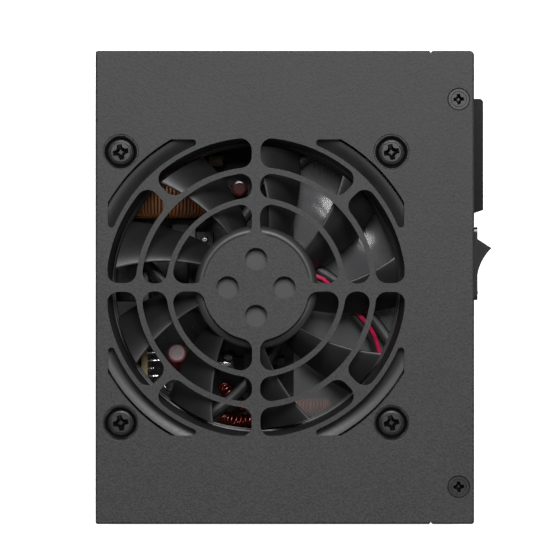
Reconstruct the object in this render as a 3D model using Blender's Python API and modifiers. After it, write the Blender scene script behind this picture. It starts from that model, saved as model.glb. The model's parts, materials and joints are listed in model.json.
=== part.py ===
"""A compact computer power supply unit (SFX size), as the separate pieces it is assembled from.

Frame: origin at the middle of the case's underside, +X to the panel with the mains inlet and switch,
+Z to the fan side. Every length is in metres; mm() turns millimetres into metres.
"""
import math

import bmesh
import bpy
from mathutils import Matrix, Vector


def mm(*values):
    """Millimetres as metres: one number gives a number, three give a point."""
    scaled = [value * 0.001 for value in values]
    return scaled[0] if len(scaled) == 1 else Vector(scaled)


# Case
HALF_X, HALF_Y, HEIGHT = mm(50), mm(62.5), mm(63.5)
SHEET = mm(0.8)
GAP = mm(0.3)
BEND_RADIUS = mm(1.2)
TONGUE_X = mm(38.6)                     # the cover's side flanges end here; its plate runs on to the rear
LIP_BOTTOM = mm(57.5)                   # lower edge of the cover's short front lip
COVER_UNDERSIDE = HEIGHT - SHEET
BASE_TOP = COVER_UNDERSIDE - GAP

# Fan: 80 x 80 x 15 mm, with screws on a 71.5 mm square
FAN_CENTRE = mm(-7.6, 0, 0)
FAN_HALF, FAN_DEPTH, FAN_HOLE_HALF = mm(40), mm(15), mm(35.75)
BLADES, HUB_RADIUS, TIP_RADIUS, BORE_RADIUS = 9, mm(16.3), mm(37.5), mm(38.4)
FIRST_BLADE, BLADE_ROOT = math.radians(3.3), mm(15.6)
BLADE_DROP, BLADE_CAMBER = mm(8.4), 1.9    # a blade falls slowly behind its leading edge, then steeply
DIMPLE_RADIUS, DIMPLE_DEPTH, DIMPLE_FLOOR = mm(4.5), mm(1.3), mm(0.7)
FAN_TOP = HEIGHT - DIMPLE_DEPTH - DIMPLE_FLOOR - GAP
FAN_BOTTOM = FAN_TOP - FAN_DEPTH
STRUT_HEIGHT, STRUT_HALF_WIDTH = mm(1.6), mm(1.5)
STRUT_LINE = (mm(12.4, 6.6, 0), mm(25.5, 1.5, 0), mm(37, -16.7, 0))    # quadratic curve from the fan's axis

# Grille: rings of slots around a centre disc, radii from the fan's axis
SPOKE_HALF, WEB_HALF, SLOT_FILLET = mm(1.05), mm(1.25), mm(3.0)
INNER_SLOTS = (mm(14.0), mm(22.3))
MIDDLE_SLOTS = (mm(23.75), mm(30.3))
OUTER_SLOTS = (mm(31.8), mm(39.6))
CORNER_SLOTS = (mm(40.8), mm(45.1))
CORNER_SQUARE, CORNER_TIP = mm(39.1), mm(0.9)
HUB_HOLE_RADIUS, HUB_HOLE_OFFSET = mm(2.95), mm(7.5)

# Cover screws
COVER_SCREWS = (mm(45.9, 49.7, 0), mm(45.9, -52.6, 0))
COVER_HEAD_RADIUS, FAN_HEAD_RADIUS, SHANK_RADIUS = mm(2.9), mm(3.35), mm(1.35)

# Rear panel
PANEL_HOLE_Y, PANEL_HOLE_Z = mm(56.5), (mm(6), mm(57.5))
INLET_Y, INLET_Z = mm(35.2), mm(33)
INLET_BEZEL = (mm(30.9), mm(24), mm(3.0))
INLET_BODY = (mm(27), mm(20), mm(16))
INLET_CAVITY = (mm(24), mm(16), mm(15.5))
SWITCH_Y, SWITCH_Z = mm(6.4), mm(33)
SWITCH_BEZEL = (mm(19.7), mm(15), mm(1.7))
SWITCH_BODY = (mm(18.6), mm(13.2), mm(14.5))
PIVOT_X, ROCKER_TILT = mm(47.5), math.radians(16.5)
VENT_FLAT, VENT_PITCH = mm(5.8), mm(7.0)

# Front panel and boards
BOARD_BOTTOM, BOARD_THICK = mm(5), mm(1.6)
BOARD_TOP = BOARD_BOTTOM + BOARD_THICK
BOARD_HALF_Y = mm(58)
BOSS_POINTS = [mm(x, y, 0) for x in (-42, 40) for y in (-52, 52)]
SOCKET_PITCH, SOCKET_WALL, SOCKET_DEPTH = mm(4.2), mm(0.9), mm(11)
SOCKET_BOARD_X = mm(-38.5)
BAFFLE_LOW, BAFFLE_X, BAFFLE_HALF_Y = mm(43), (mm(2.4), mm(33)), mm(38.5)

MATERIALS = {
    # name: (base colour, roughness, metallic)
    "black_steel": ((0.045, 0.045, 0.047), 0.62, 0.0),
    "zinc_steel": ((0.30, 0.30, 0.31), 0.38, 1.0),
    "fan_plastic": ((0.022, 0.022, 0.024), 0.42, 0.0),
    "panel_plastic": ((0.03, 0.03, 0.032), 0.5, 0.0),
    "rocker_plastic": ((0.02, 0.02, 0.022), 0.3, 0.0),
    "plated_brass": ((0.72, 0.62, 0.36), 0.3, 1.0),
    "steel": ((0.55, 0.55, 0.56), 0.35, 1.0),
    "magnet": ((0.07, 0.065, 0.06), 0.7, 0.0),
    "lamination": ((0.32, 0.33, 0.35), 0.45, 1.0),
    "bronze": ((0.5, 0.33, 0.16), 0.45, 1.0),
    "copper": ((0.58, 0.22, 0.08), 0.35, 1.0),
    "red_wire": ((0.55, 0.02, 0.05), 0.45, 0.0),
    "black_wire": ((0.02, 0.02, 0.02), 0.5, 0.0),
    "blue_wire": ((0.02, 0.06, 0.35), 0.5, 0.0),
    "brown_wire": ((0.12, 0.04, 0.015), 0.5, 0.0),
    "green_wire": ((0.03, 0.3, 0.05), 0.5, 0.0),
    "white_plastic": ((0.75, 0.74, 0.7), 0.45, 0.0),
    "clear_sheet": ((0.8, 0.82, 0.83), 0.15, 0.0),
    "board": ((0.01, 0.06, 0.025), 0.4, 0.0),
    "board_core": ((0.42, 0.33, 0.17), 0.5, 0.0),
    "insulation": ((0.85, 0.8, 0.6), 0.4, 0.0),
    "ferrite": ((0.05, 0.05, 0.055), 0.7, 0.0),
    "tape": ((0.05, 0.04, 0.02), 0.4, 0.0),
    "aluminium": ((0.3, 0.3, 0.31), 0.4, 1.0),
    "sleeve": ((0.03, 0.03, 0.04), 0.3, 0.0),
    "red_sleeve": ((0.6, 0.12, 0.16), 0.35, 0.0),
    "grey_block": ((0.18, 0.18, 0.19), 0.5, 0.0),
    "epoxy": ((0.03, 0.03, 0.03), 0.5, 0.0),
}

PARTS = bpy.data.collections.new("power_supply_unit")
CUTTERS = bpy.data.collections.new("cutters")
AXIS_TURNS = {
    "X": Matrix.Rotation(math.radians(90), 4, "Y"),
    "-Y": Matrix.Rotation(math.radians(90), 4, "X"),
    "Z": Matrix.Identity(4),
    "XY": Matrix.Rotation(math.radians(45), 4, "Z") @ Matrix.Rotation(math.radians(90), 4, "Y"),
}


def clear_scene():
    for thing in list(bpy.data.objects):
        bpy.data.objects.remove(thing)
    for collection in (PARTS, CUTTERS):
        bpy.context.scene.collection.children.link(collection)


def material(name):
    found = bpy.data.materials.get(name)
    if found:
        return found
    colour, roughness, metallic = MATERIALS[name]
    made = bpy.data.materials.new(name)
    made.use_nodes = True
    shader = made.node_tree.nodes["Principled BSDF"]
    shader.inputs["Base Color"].default_value = (*colour, 1)
    shader.inputs["Roughness"].default_value = roughness
    shader.inputs["Metallic"].default_value = metallic
    if name == "clear_sheet":
        shader.inputs["Alpha"].default_value = 0.35
    return made


def place(name, data, slot, matrix=None):
    """Links a new object: a part where slot names its material, a cutter where slot is None."""
    made = bpy.data.objects.new(name, data)
    if slot is None:
        CUTTERS.objects.link(made)
        made.hide_render = True
        made.display_type = "WIRE"
    else:
        PARTS.objects.link(made)
        data.materials.append(material(slot))
    if matrix is not None:
        made.matrix_world = matrix
    return made


def from_bmesh(name, shape, slot, matrix=None):
    data = bpy.data.meshes.new(name)
    shape.to_mesh(data)
    shape.free()
    return place(name, data, slot, matrix)


def box(name, low, high, slot=None):
    low, high = Vector(low), Vector(high)
    shape = bmesh.new()
    bmesh.ops.create_cube(shape, size=1)
    bmesh.ops.scale(shape, vec=high - low, verts=shape.verts)
    bmesh.ops.translate(shape, vec=(low + high) / 2, verts=shape.verts)
    return from_bmesh(name, shape, slot)


def cone(name, start, radius_start, radius_end, length, slot=None, segments=24):
    """A cylinder or cone whose lower end is centred on start."""
    shape = bmesh.new()
    bmesh.ops.create_cone(shape, cap_ends=True, segments=segments, radius1=radius_start,
                          radius2=radius_end, depth=length)
    bmesh.ops.translate(shape, vec=(0, 0, length / 2), verts=shape.verts)
    return from_bmesh(name, shape, slot, Matrix.Translation(start))


def cylinder(name, start, radius, length, slot=None, segments=24):
    return cone(name, start, radius, radius, length, slot, segments)


def turned(name, profile, centre, slot=None, steps=32, turn=Matrix.Identity(4)):
    """A solid of revolution: profile is (radius, height) points that run down its outer side."""
    shape = bmesh.new()
    rim = [shape.verts.new((radius, 0, height)) for radius, height in profile]
    for first, second in zip(rim, rim[1:]):
        shape.edges.new((first, second))
    if profile[0][0] > 0:
        shape.edges.new((rim[-1], rim[0]))
    made = from_bmesh(name, shape, slot, Matrix.Translation(centre) @ turn)
    screw = made.modifiers.new("turn", "SCREW")
    screw.steps = screw.render_steps = steps
    screw.use_merge_vertices = True
    screw.merge_threshold = mm(0.01)
    screw.use_smooth_shade = False
    return made


def mesh_of_curve(name, curve, slot, matrix=None):
    """The evaluated mesh of a curve, welded shut, as a new object; the curve itself is removed."""
    holder = bpy.data.objects.new(name + "_curve", curve)
    bpy.context.scene.collection.objects.link(holder)
    bpy.context.view_layer.update()
    graph = bpy.context.evaluated_depsgraph_get()
    data = bpy.data.meshes.new_from_object(holder.evaluated_get(graph))
    bpy.data.objects.remove(holder)
    shape = bmesh.new()
    shape.from_mesh(data)
    bmesh.ops.remove_doubles(shape, verts=shape.verts, dist=mm(0.001))
    shape.to_mesh(data)
    shape.free()
    return place(name, data, slot, matrix)


def prism(name, outlines, low, high, slot=None, turn=Matrix.Identity(4)):
    """Flat outlines of (x, y) points, filled and extruded from low to high along their normal."""
    curve = bpy.data.curves.new(name, "CURVE")
    curve.dimensions = "2D"
    curve.fill_mode = "BOTH"
    curve.extrude = (high - low) / 2
    for outline in outlines:
        spline = curve.splines.new("POLY")
        spline.points.add(len(outline) - 1)
        for point, (x, y) in zip(spline.points, outline):
            point.co = (x, y, 0, 1)
        spline.use_cyclic_u = True
    return mesh_of_curve(name, curve, slot, turn @ Matrix.Translation((0, 0, (low + high) / 2)))


def wire(name, points, radius, slot):
    """A round lead along a smooth curve through the given points."""
    ends = [points[0], *points, points[-1]]
    smooth = [points[0]]
    for before, start, stop, after in zip(ends, ends[1:], ends[2:], ends[3:]):
        for part in (0.5, 1.0):
            smooth.append(catmull_rom(before, start, stop, after, part))
    curve = bpy.data.curves.new(name, "CURVE")
    curve.dimensions = "3D"
    curve.bevel_depth = radius
    curve.bevel_resolution = 2
    curve.use_fill_caps = True
    spline = curve.splines.new("POLY")
    spline.points.add(len(smooth) - 1)
    for knot, point in zip(spline.points, smooth):
        knot.co = (*point, 1)
    return place(name, curve, slot)


def catmull_rom(before, start, stop, after, part):
    slope_start, slope_stop = (stop - before) / 2, (after - start) / 2
    square, cube = part ** 2, part ** 3
    return (start * (2 * cube - 3 * square + 1) + slope_start * (cube - 2 * square + part)
            + stop * (3 * square - 2 * cube) + slope_stop * (cube - square))


def join(target, others, operation):
    """Cuts others from target, or fuses them to it."""
    for other in others:
        if other.name in PARTS.objects:
            PARTS.objects.unlink(other)
            CUTTERS.objects.link(other)
        other.hide_render = True
        other.display_type = "WIRE"
        step = target.modifiers.new(operation.lower(), "BOOLEAN")
        step.operation = operation
        step.object = other
    return target


def cut(target, *others):
    return join(target, others, "DIFFERENCE")


def fuse(target, *others):
    return join(target, others, "UNION")


def arc(centre, radius, start, stop, steps):
    """Points on a circle from one angle to another, both ends included."""
    angles = [start + (stop - start) * step / steps for step in range(steps + 1)]
    return [(centre[0] + radius * math.cos(a), centre[1] + radius * math.sin(a)) for a in angles]


def rounded_rectangle(low, high, radius, steps=3):
    """Outline of a rectangle between two corners, with rounded corners."""
    (x0, y0), (x1, y1), r = low, high, radius
    corners = ((x1 - r, y0 + r, -90), (x1 - r, y1 - r, 0), (x0 + r, y1 - r, 90), (x0 + r, y0 + r, 180))
    outline = []
    for x, y, degrees in corners:
        start = math.radians(degrees)
        outline += arc((x, y), r, start, start + math.pi / 2, steps)
    return outline


def turned_outline(outline, angle, centre=(0, 0)):
    c, s = math.cos(angle), math.sin(angle)
    return [(centre[0] + c * x - s * y, centre[1] + s * x + c * y) for x, y in outline]


def ring_slot(radii, half_span, half_web, fillet, steps):
    """Outline of a grille slot about the X axis: two arcs, ends parallel to the webs, round corners."""
    inner, outer = radii
    along = Vector((math.cos(half_span), -math.sin(half_span)))
    inward = Vector((math.sin(half_span), math.cos(half_span)))
    offset = half_web + fillet
    far = along * math.sqrt((outer - fillet) ** 2 - offset ** 2) + inward * offset
    near = along * math.sqrt((inner + fillet) ** 2 - offset ** 2) + inward * offset
    edge = math.atan2(-inward.y, -inward.x)
    far_angle, near_angle = math.atan2(far.y, far.x), math.atan2(near.y, near.x)
    lower = arc(far, fillet, edge, far_angle, 4)
    outer_arc = arc((0, 0), outer, far_angle, 0, steps)[1:]
    inner_arc = arc((0, 0), inner, 0, near_angle, steps)[:-1]
    back = arc(near, fillet, near_angle + math.pi, edge + 2 * math.pi, 4)
    half = inner_arc + back + lower + outer_arc
    mirrored = [(x, -y) for x, y in reversed(half[1:-1])]
    return half + mirrored


def corner_slot():
    """Outline of a crescent about the diagonal of the first quadrant, clipped by the fan's square."""
    inner, outer = CORNER_SLOTS
    tip = Vector((CORNER_SQUARE - CORNER_TIP, 0))
    tip.y = math.sqrt((inner + CORNER_TIP) ** 2 - tip.x ** 2)
    tip_angle = math.atan2(tip.y, tip.x)
    clip_angle = math.acos(CORNER_SQUARE / outer)
    half = arc((0, 0), inner, math.pi / 4, tip_angle, 6)[:-1]
    half += arc(tip, CORNER_TIP, tip_angle - math.pi, 0, 4)
    half += arc((0, 0), outer, clip_angle, math.pi / 4, 5)
    mirrored = [(y, x) for x, y in reversed(half[1:-1])]
    return half + mirrored


def grille_outlines():
    centre = (FAN_CENTRE.x, FAN_CENTRE.y)
    outlines = []
    for quadrant in range(4):
        start = quadrant * math.pi / 2
        for radii in (INNER_SLOTS, MIDDLE_SLOTS):
            outline = ring_slot(radii, math.pi / 4, SPOKE_HALF, SLOT_FILLET, 6)
            outlines.append(turned_outline(outline, start + math.pi / 4, centre))
        for side in (1, 3):
            outline = ring_slot(OUTER_SLOTS, math.pi / 8, (SPOKE_HALF + WEB_HALF) / 2, SLOT_FILLET, 4)
            outlines.append(turned_outline(outline, start + side * math.pi / 8, centre))
        outlines.append(turned_outline(corner_slot(), start, centre))
        hole = arc((HUB_HOLE_OFFSET, 0), HUB_HOLE_RADIUS, 0, 2 * math.pi, 16)[:-1]
        outlines.append(turned_outline(hole, start, centre))
    return outlines


def fan_hole_points():
    return [FAN_CENTRE + Vector((x, y, 0)) * FAN_HOLE_HALF for y in (1, -1) for x in (-1, 1)]


def sheet_box(name, top, slot):
    """A closed box of bent sheet with rounded bends, as wide and long as the case."""
    made = box(name, (-HALF_X, -HALF_Y, 0), (HALF_X, HALF_Y, top), slot)
    bends = made.modifiers.new("bends", "BEVEL")
    bends.width = BEND_RADIUS
    bends.segments = 3
    walls = made.modifiers.new("walls", "SOLIDIFY")
    walls.thickness = SHEET
    walls.offset = -1
    return made


def build_fan_cover():
    """The lid: a grille plate, two side flanges, a short front lip and a flat tongue to the rear."""
    cover = sheet_box("fan_cover", HEIGHT, "black_steel")
    reach, above = mm(5), COVER_UNDERSIDE - mm(0.7)
    cut(
        cover,
        box("cover_open_bottom", (-mm(60), -mm(70), -reach), (mm(60), mm(70), mm(0.9))),
        box("cover_open_rear", (TONGUE_X, -mm(70), -reach), (mm(60), mm(70), HEIGHT + reach)),
        box("cover_open_front", (-mm(60), -mm(61.2), -reach), (-mm(45), mm(61.2), LIP_BOTTOM)),
        box("cover_relief_left", (-mm(60), mm(61.0), -reach), (-mm(48.75), mm(70), above)),
        box("cover_relief_right", (-mm(60), -mm(70), -reach), (-mm(48.75), -mm(61.0), above)),
    )
    notch, side = mm(0.6), mm(60.9)
    tongue = [(mm(30), -side), (TONGUE_X - mm(1.2), -side), (TONGUE_X, -HALF_Y + notch),
              (TONGUE_X + mm(0.8), -HALF_Y)]
    tongue += arc((HALF_X - mm(0.7), -HALF_Y + mm(0.7)), mm(0.7), -math.pi / 2, 0, 3)
    tongue += arc((HALF_X - mm(1.3), HALF_Y - mm(1.3)), mm(1.3), 0, math.pi / 2, 3)
    tongue += [(TONGUE_X + mm(0.8), HALF_Y), (TONGUE_X, HALF_Y - notch), (TONGUE_X - mm(1.2), side),
               (mm(30), side)]
    fuse(cover, prism("cover_tongue", [tongue], COVER_UNDERSIDE, HEIGHT))
    cut(cover, prism("grille_slots", grille_outlines(), COVER_UNDERSIDE - mm(2), HEIGHT + mm(2)))
    floor = HEIGHT - DIMPLE_DEPTH
    for index, point in enumerate(fan_hole_points()):
        bottom = floor - DIMPLE_FLOOR
        fuse(cover, cylinder(f"dimple_cup_{index}", point + Vector((0, 0, bottom)), mm(5.1),
                             HEIGHT - bottom - mm(0.3), segments=16))
        slope = (DIMPLE_RADIUS - FAN_HEAD_RADIUS - mm(0.15)) / DIMPLE_DEPTH
        over = mm(0.5)
        cut(cover,
            cone(f"dimple_{index}", point + Vector((0, 0, floor)), FAN_HEAD_RADIUS + mm(0.15),
                 DIMPLE_RADIUS + slope * over, DIMPLE_DEPTH + over, segments=24),
            cylinder(f"dimple_hole_{index}", point + Vector((0, 0, floor - mm(3))), mm(2.2), mm(6),
                     segments=12))
    for index, point in enumerate(COVER_SCREWS):
        over = mm(0.5)
        slope = (COVER_HEAD_RADIUS + mm(0.1) - mm(1.9)) / SHEET
        cut(cover, cone(f"countersink_{index}", point + Vector((0, 0, COVER_UNDERSIDE - over)),
                        mm(1.9) - slope * over, mm(3.0) + slope * over, SHEET + 2 * over))
    return cover


def hexagon(centre, flat):
    return arc(centre, flat / math.sqrt(3), math.pi / 6, math.pi / 6 + 2 * math.pi, 6)[:-1]


def vent_outlines():
    """A honeycomb in the rear panel beside the switch, as (y, z) outlines."""
    outlines = []
    rows, columns = 7, 6
    row_step = VENT_PITCH * math.sqrt(3) / 2
    for row in range(rows):
        for column in range(columns):
            y = -mm(11.5) - column * VENT_PITCH - (row % 2) * VENT_PITCH / 2
            z = HEIGHT / 2 + (row - (rows - 1) / 2) * row_step
            outlines.append(hexagon((y, z), VENT_FLAT))
    return outlines


FACING_X = Matrix(((0, 0, 1, 0), (1, 0, 0, 0), (0, 1, 0, 0), (0, 0, 0, 1)))  # (x, y, z) to (y, z, x)


def build_base_shell():
    """The tray: floor, front panel, and a rear panel folded into a shallow box under the cover."""
    base = sheet_box("base_shell", BASE_TOP, "black_steel")
    far, inner_y = mm(70), HALF_Y - SHEET - GAP
    edge = TONGUE_X + mm(0.3)
    cut(
        base,
        box("base_open_left", (-far, inner_y, -far), (edge, far, far)),
        box("base_open_right", (-far, -far, -far), (edge, -inner_y, far)),
        box("base_open_top", (-far, -far, LIP_BOTTOM - GAP), (edge, far, far)),
    )
    for index, point in enumerate(BOSS_POINTS):
        fuse(base, cone(f"boss_{index}", point + Vector((0, 0, mm(0.3))), mm(4.5), mm(3),
                        BOARD_BOTTOM - GAP - mm(0.3), segments=16))
        cut(base, cylinder(f"boss_hole_{index}", point + Vector((0, 0, -mm(1))), mm(1.2), mm(8),
                           segments=12))
    holes = [arc((y, z), mm(1.7), 0, 2 * math.pi, 12)[:-1]
             for y in (-PANEL_HOLE_Y, PANEL_HOLE_Y) for z in PANEL_HOLE_Z]
    windows = [frame_outline(INLET_Y, INLET_Z, INLET_BODY, mm(0.3)),
               frame_outline(SWITCH_Y, SWITCH_Z, SWITCH_BODY, mm(0.3))]
    cut(base, prism("rear_openings", vent_outlines() + holes + windows, HALF_X - mm(3), HALF_X + mm(3),
                    turn=FACING_X))
    sockets = [socket_window(*layout) for layout in SOCKETS.values()]
    cut(base, prism("front_openings", sockets, -HALF_X - mm(3), -HALF_X + mm(3), turn=FACING_X))
    for index, point in enumerate(COVER_SCREWS):
        cut(base, cylinder(f"thread_{index}", point + Vector((0, 0, BASE_TOP - mm(2))), mm(1.6), mm(4)))
    return base


def frame_outline(y, z, size, extra):
    half_y, half_z = size[0] / 2 + extra, size[1] / 2 + extra
    return rounded_rectangle((y - half_y, z - half_z), (y + half_y, z + half_z), mm(0.8), 2)


# Cable sockets in the front panel: columns, rows, middle in Y, middle in Z
SOCKETS = {
    "motherboard_socket": (12, 2, mm(-29.5), mm(38)),
    "drive_socket": (3, 2, mm(6.5), mm(38)),
    "cpu_socket": (4, 2, mm(-46), mm(20)),
    "graphics_socket_1": (4, 2, mm(-22.5), mm(20)),
    "graphics_socket_2": (4, 2, mm(1), mm(20)),
}


def socket_half(columns, rows):
    return (columns * SOCKET_PITCH / 2 + SOCKET_WALL / 2, rows * SOCKET_PITCH / 2 + SOCKET_WALL / 2)


def socket_window(columns, rows, y, z):
    half_y, half_z = socket_half(columns, rows)
    extra = GAP
    return rounded_rectangle((y - half_y - extra, z - half_z - extra),
                             (y + half_y + extra, z + half_z + extra), mm(0.5), 1)


def build_socket(name, columns, rows, y, z):
    """A cable socket: a block with one square well for each pin and a latch rib on top."""
    half_y, half_z = socket_half(columns, rows)
    front, back = -HALF_X, -HALF_X + SOCKET_DEPTH
    socket = box(name, (front, y - half_y, z - half_z), (back, y + half_y, z + half_z), "panel_plastic")
    rib = mm(2.2)
    fuse(socket, box(name + "_rib", (front + mm(1.5), y - rib, z + half_z - mm(0.5)),
                     (front + mm(8), y + rib, z + half_z + mm(1.2))))
    well = (SOCKET_PITCH - SOCKET_WALL) / 2
    wells = []
    for column in range(columns):
        for row in range(rows):
            middle_y = y + (column - (columns - 1) / 2) * SOCKET_PITCH
            middle_z = z + (row - (rows - 1) / 2) * SOCKET_PITCH
            wells.append([(middle_y - well, middle_z - well), (middle_y + well, middle_z - well),
                          (middle_y + well, middle_z + well), (middle_y - well, middle_z + well)])
    cut(socket, prism(name + "_wells", wells, front - mm(2), back - mm(2), turn=FACING_X))
    return socket


def cross_cutter(name, point, size, depth, angle):
    """The recess of a cross-head screw, cut down from point."""
    half_long, half_wide = size, size * 0.22
    outline = []
    for quarter in range(4):
        outline += turned_outline([(half_long, -half_wide), (half_long, half_wide),
                                   (half_wide, half_wide)], quarter * math.pi / 2 + angle)
    outline = [(point.x + x, point.y + y) for x, y in outline]
    return prism(name, [outline], point.z - depth, point.z + mm(1))


def build_screws():
    head_top = HEIGHT - mm(0.05)
    fan_profile = [(0, 0), (mm(2.4), 0), (mm(3.1), -mm(0.35)), (FAN_HEAD_RADIUS, -mm(1.15)),
                   (SHANK_RADIUS, -mm(1.15)), (SHANK_RADIUS, -mm(8)), (0, -mm(8.6))]
    for index, point in enumerate(fan_hole_points()):
        top = Vector((point.x, point.y, head_top))
        screw = turned(f"fan_screw_{index + 1}", fan_profile, top, "zinc_steel", 24)
        cut(screw, cross_cutter(f"fan_cross_{index}", top, mm(1.75), mm(0.8), 0.3 + index))
    flat_profile = [(0, 0), (COVER_HEAD_RADIUS - mm(0.1), 0), (SHANK_RADIUS, -mm(1.1)),
                    (SHANK_RADIUS, -mm(4.5)), (0, -mm(5))]
    for index, point in enumerate(COVER_SCREWS):
        top = Vector((point.x, point.y, head_top))
        screw = turned(f"cover_screw_{index + 1}", flat_profile, top, "zinc_steel", 24)
        cut(screw, cross_cutter(f"cover_cross_{index}", top, mm(1.5), mm(0.8), 0.2 + index))
    board_profile = [(0, mm(2)), (mm(2.6), mm(1.7)), (mm(2.8), 0), (mm(0.95), 0), (mm(0.95), -mm(4.5)),
                     (0, -mm(5))]
    for index, point in enumerate(BOSS_POINTS):
        turned(f"board_screw_{index + 1}", board_profile, point + Vector((0, 0, BOARD_TOP + GAP)),
               "steel", 12)


def strut_outline():
    """One fan strut in plan: a band along a curve from the motor base to the frame."""
    start, pull, stop = STRUT_LINE
    left, right = [], []
    steps = 8
    for step in range(steps + 1):
        part = step / steps
        point = start * (1 - part) ** 2 + pull * 2 * part * (1 - part) + stop * part ** 2
        along = ((pull - start) * (1 - part) + (stop - pull) * part).normalized()
        side = Vector((-along.y, along.x)) * STRUT_HALF_WIDTH
        left.append((point.x + side.x, point.y + side.y))
        right.append((point.x - side.x, point.y - side.y))
    return left + right[::-1]


def build_fan_frame():
    """Square frame with a round bore, flared corners, four struts and the motor base."""
    low = (FAN_CENTRE.x - FAN_HALF, -FAN_HALF)
    high = (FAN_CENTRE.x + FAN_HALF, FAN_HALF)
    frame = prism("fan_frame", [rounded_rectangle(low, high, mm(4))], FAN_BOTTOM, FAN_TOP, "fan_plastic")
    bore = cylinder("fan_bore", FAN_CENTRE + Vector((0, 0, FAN_BOTTOM - mm(1))), BORE_RADIUS,
                    FAN_DEPTH + mm(2), segments=64)
    over = mm(0.5)
    rise, widen = mm(6.5), mm(7.2)
    flare = cone("fan_flare", FAN_CENTRE + Vector((0, 0, FAN_TOP - rise)), BORE_RADIUS,
                 BORE_RADIUS + widen * (rise + over) / rise, rise + over, segments=64)
    inner = FAN_HALF - mm(0.8)
    square = box("fan_flare_limit", FAN_CENTRE + Vector((-inner, -inner, FAN_TOP - mm(8))),
                 FAN_CENTRE + Vector((inner, inner, FAN_TOP + mm(2))))
    join(flare, [square], "INTERSECT")
    cut(frame, bore, flare)
    for index, point in enumerate(fan_hole_points()):
        cut(frame, cylinder(f"fan_frame_hole_{index}", point + Vector((0, 0, FAN_BOTTOM - mm(1))),
                            mm(1.75), FAN_DEPTH + mm(2), segments=16))
    to_fan = Matrix.Translation(FAN_CENTRE)
    spider = cylinder("motor_base", FAN_CENTRE + Vector((0, 0, FAN_BOTTOM)), mm(15), STRUT_HEIGHT,
                      segments=48)
    for arm in range(4):
        outline = turned_outline(strut_outline(), arm * math.pi / 2)
        fuse(spider, prism(f"strut_{arm}", [outline], FAN_BOTTOM + mm(0.1),
                           FAN_BOTTOM + STRUT_HEIGHT - mm(0.1), turn=to_fan))
    tube = cylinder("bearing_tube", FAN_CENTRE + Vector((0, 0, FAN_BOTTOM + mm(0.5))), mm(4.4), mm(10),
                    segments=32)
    fuse(spider, tube)
    cut(spider, cylinder("bearing_bore", FAN_CENTRE + Vector((0, 0, FAN_BOTTOM + mm(1))), mm(3.3),
                         mm(12), segments=32))
    return fuse(frame, spider)


def blade_mesh(angle):
    """One blade: a sheet lofted from root to tip, high at its leading edge, with a little camber."""
    radial, chord = 5, 4
    shape = bmesh.new()
    rows = []
    for i in range(radial + 1):
        radius = BLADE_ROOT + (TIP_RADIUS - BLADE_ROOT) * i / radial
        lead = math.radians(-4.5 + 0.675 * (radius / mm(1) - 17.2))
        row = []
        for j in range(chord + 1):
            part = j / chord
            turn = angle + lead - math.radians(20.5) * part
            height = FAN_TOP - mm(1.9) - BLADE_DROP * part ** BLADE_CAMBER
            row.append(shape.verts.new((radius * math.cos(turn), radius * math.sin(turn), height)))
        rows.append(row)
    for first, second in zip(rows, rows[1:]):
        for j in range(chord):
            shape.faces.new((first[j], first[j + 1], second[j + 1], second[j]))
    return shape


def build_fan_rotor():
    """Cup-shaped hub with nine swept blades. Its origin is on the fan's axis."""
    top, bottom = FAN_TOP - mm(0.8), FAN_BOTTOM + mm(4.2)
    wall, round_over = mm(0.8), mm(1.6)
    profile = [(0, top), (HUB_RADIUS - round_over, top), (HUB_RADIUS - mm(0.5), top - mm(0.5)),
               (HUB_RADIUS, top - round_over), (HUB_RADIUS, bottom), (HUB_RADIUS - wall, bottom),
               (HUB_RADIUS - wall, top - mm(1.2)), (mm(3), top - mm(1.2)), (mm(3), top - mm(2.6)),
               (mm(1.55), top - mm(2.6)), (mm(1.55), top - mm(1)), (0, top - mm(1))]
    rotor = turned("fan_rotor", profile, FAN_CENTRE, "fan_plastic", 45)
    for blade in range(BLADES):
        angle = FIRST_BLADE + 2 * math.pi * blade / BLADES
        sheet = from_bmesh(f"blade_{blade}", blade_mesh(angle), None, Matrix.Translation(FAN_CENTRE))
        thick = sheet.modifiers.new("thickness", "SOLIDIFY")
        thick.thickness = mm(1.0)
        thick.offset = 0
        fuse(rotor, sheet)
    return rotor


def build_fan_motor():
    base = FAN_BOTTOM + STRUT_HEIGHT
    def ring(name, outer, inner, low, high, slot, steps=24):
        profile = [(outer, high), (outer, low), (inner, low), (inner, high)]
        return turned(name, profile, FAN_CENTRE, slot, steps)
    cylinder("fan_shaft", FAN_CENTRE + Vector((0, 0, FAN_BOTTOM + mm(1.4))), mm(1.4),
             FAN_TOP - mm(2.0) - FAN_BOTTOM - mm(1.4), "steel", segments=16)
    ring("fan_bearing", mm(3.2), mm(1.5), FAN_BOTTOM + mm(1.2), FAN_BOTTOM + mm(9.5), "bronze", 16)
    ring("fan_magnet", mm(14.7), mm(13.2), FAN_BOTTOM + mm(4.6), FAN_TOP - mm(2.3), "magnet")
    ring("fan_circuit_board", mm(13.5), mm(4.7), base + mm(0.4), base + mm(1.4), "board")
    low, high = FAN_BOTTOM + mm(6), FAN_BOTTOM + mm(8.5)
    poles = []
    for pole in range(4):
        start = pole * math.pi / 2 + 0.2
        poles += arc((0, 0), mm(12.6), start - 0.55, start + 0.55, 6)
        poles += turned_outline([(mm(9.6), mm(5.2)), (mm(8.2), mm(2.2)), (mm(6.2), mm(2.2))], start)
        poles += turned_outline([(mm(2.2), mm(6.2)), (mm(2.2), mm(8.2)), (mm(5.2), mm(9.6))], start)
    core = prism("fan_stator_core", [poles], low, high, "lamination", Matrix.Translation(FAN_CENTRE))
    cut(core, cylinder("stator_bore", FAN_CENTRE + Vector((0, 0, low - mm(2))), mm(4.6), mm(8)))
    ring("fan_coil", mm(9), mm(4.7), FAN_BOTTOM + mm(3.4), low - mm(0.3), "copper")


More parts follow.
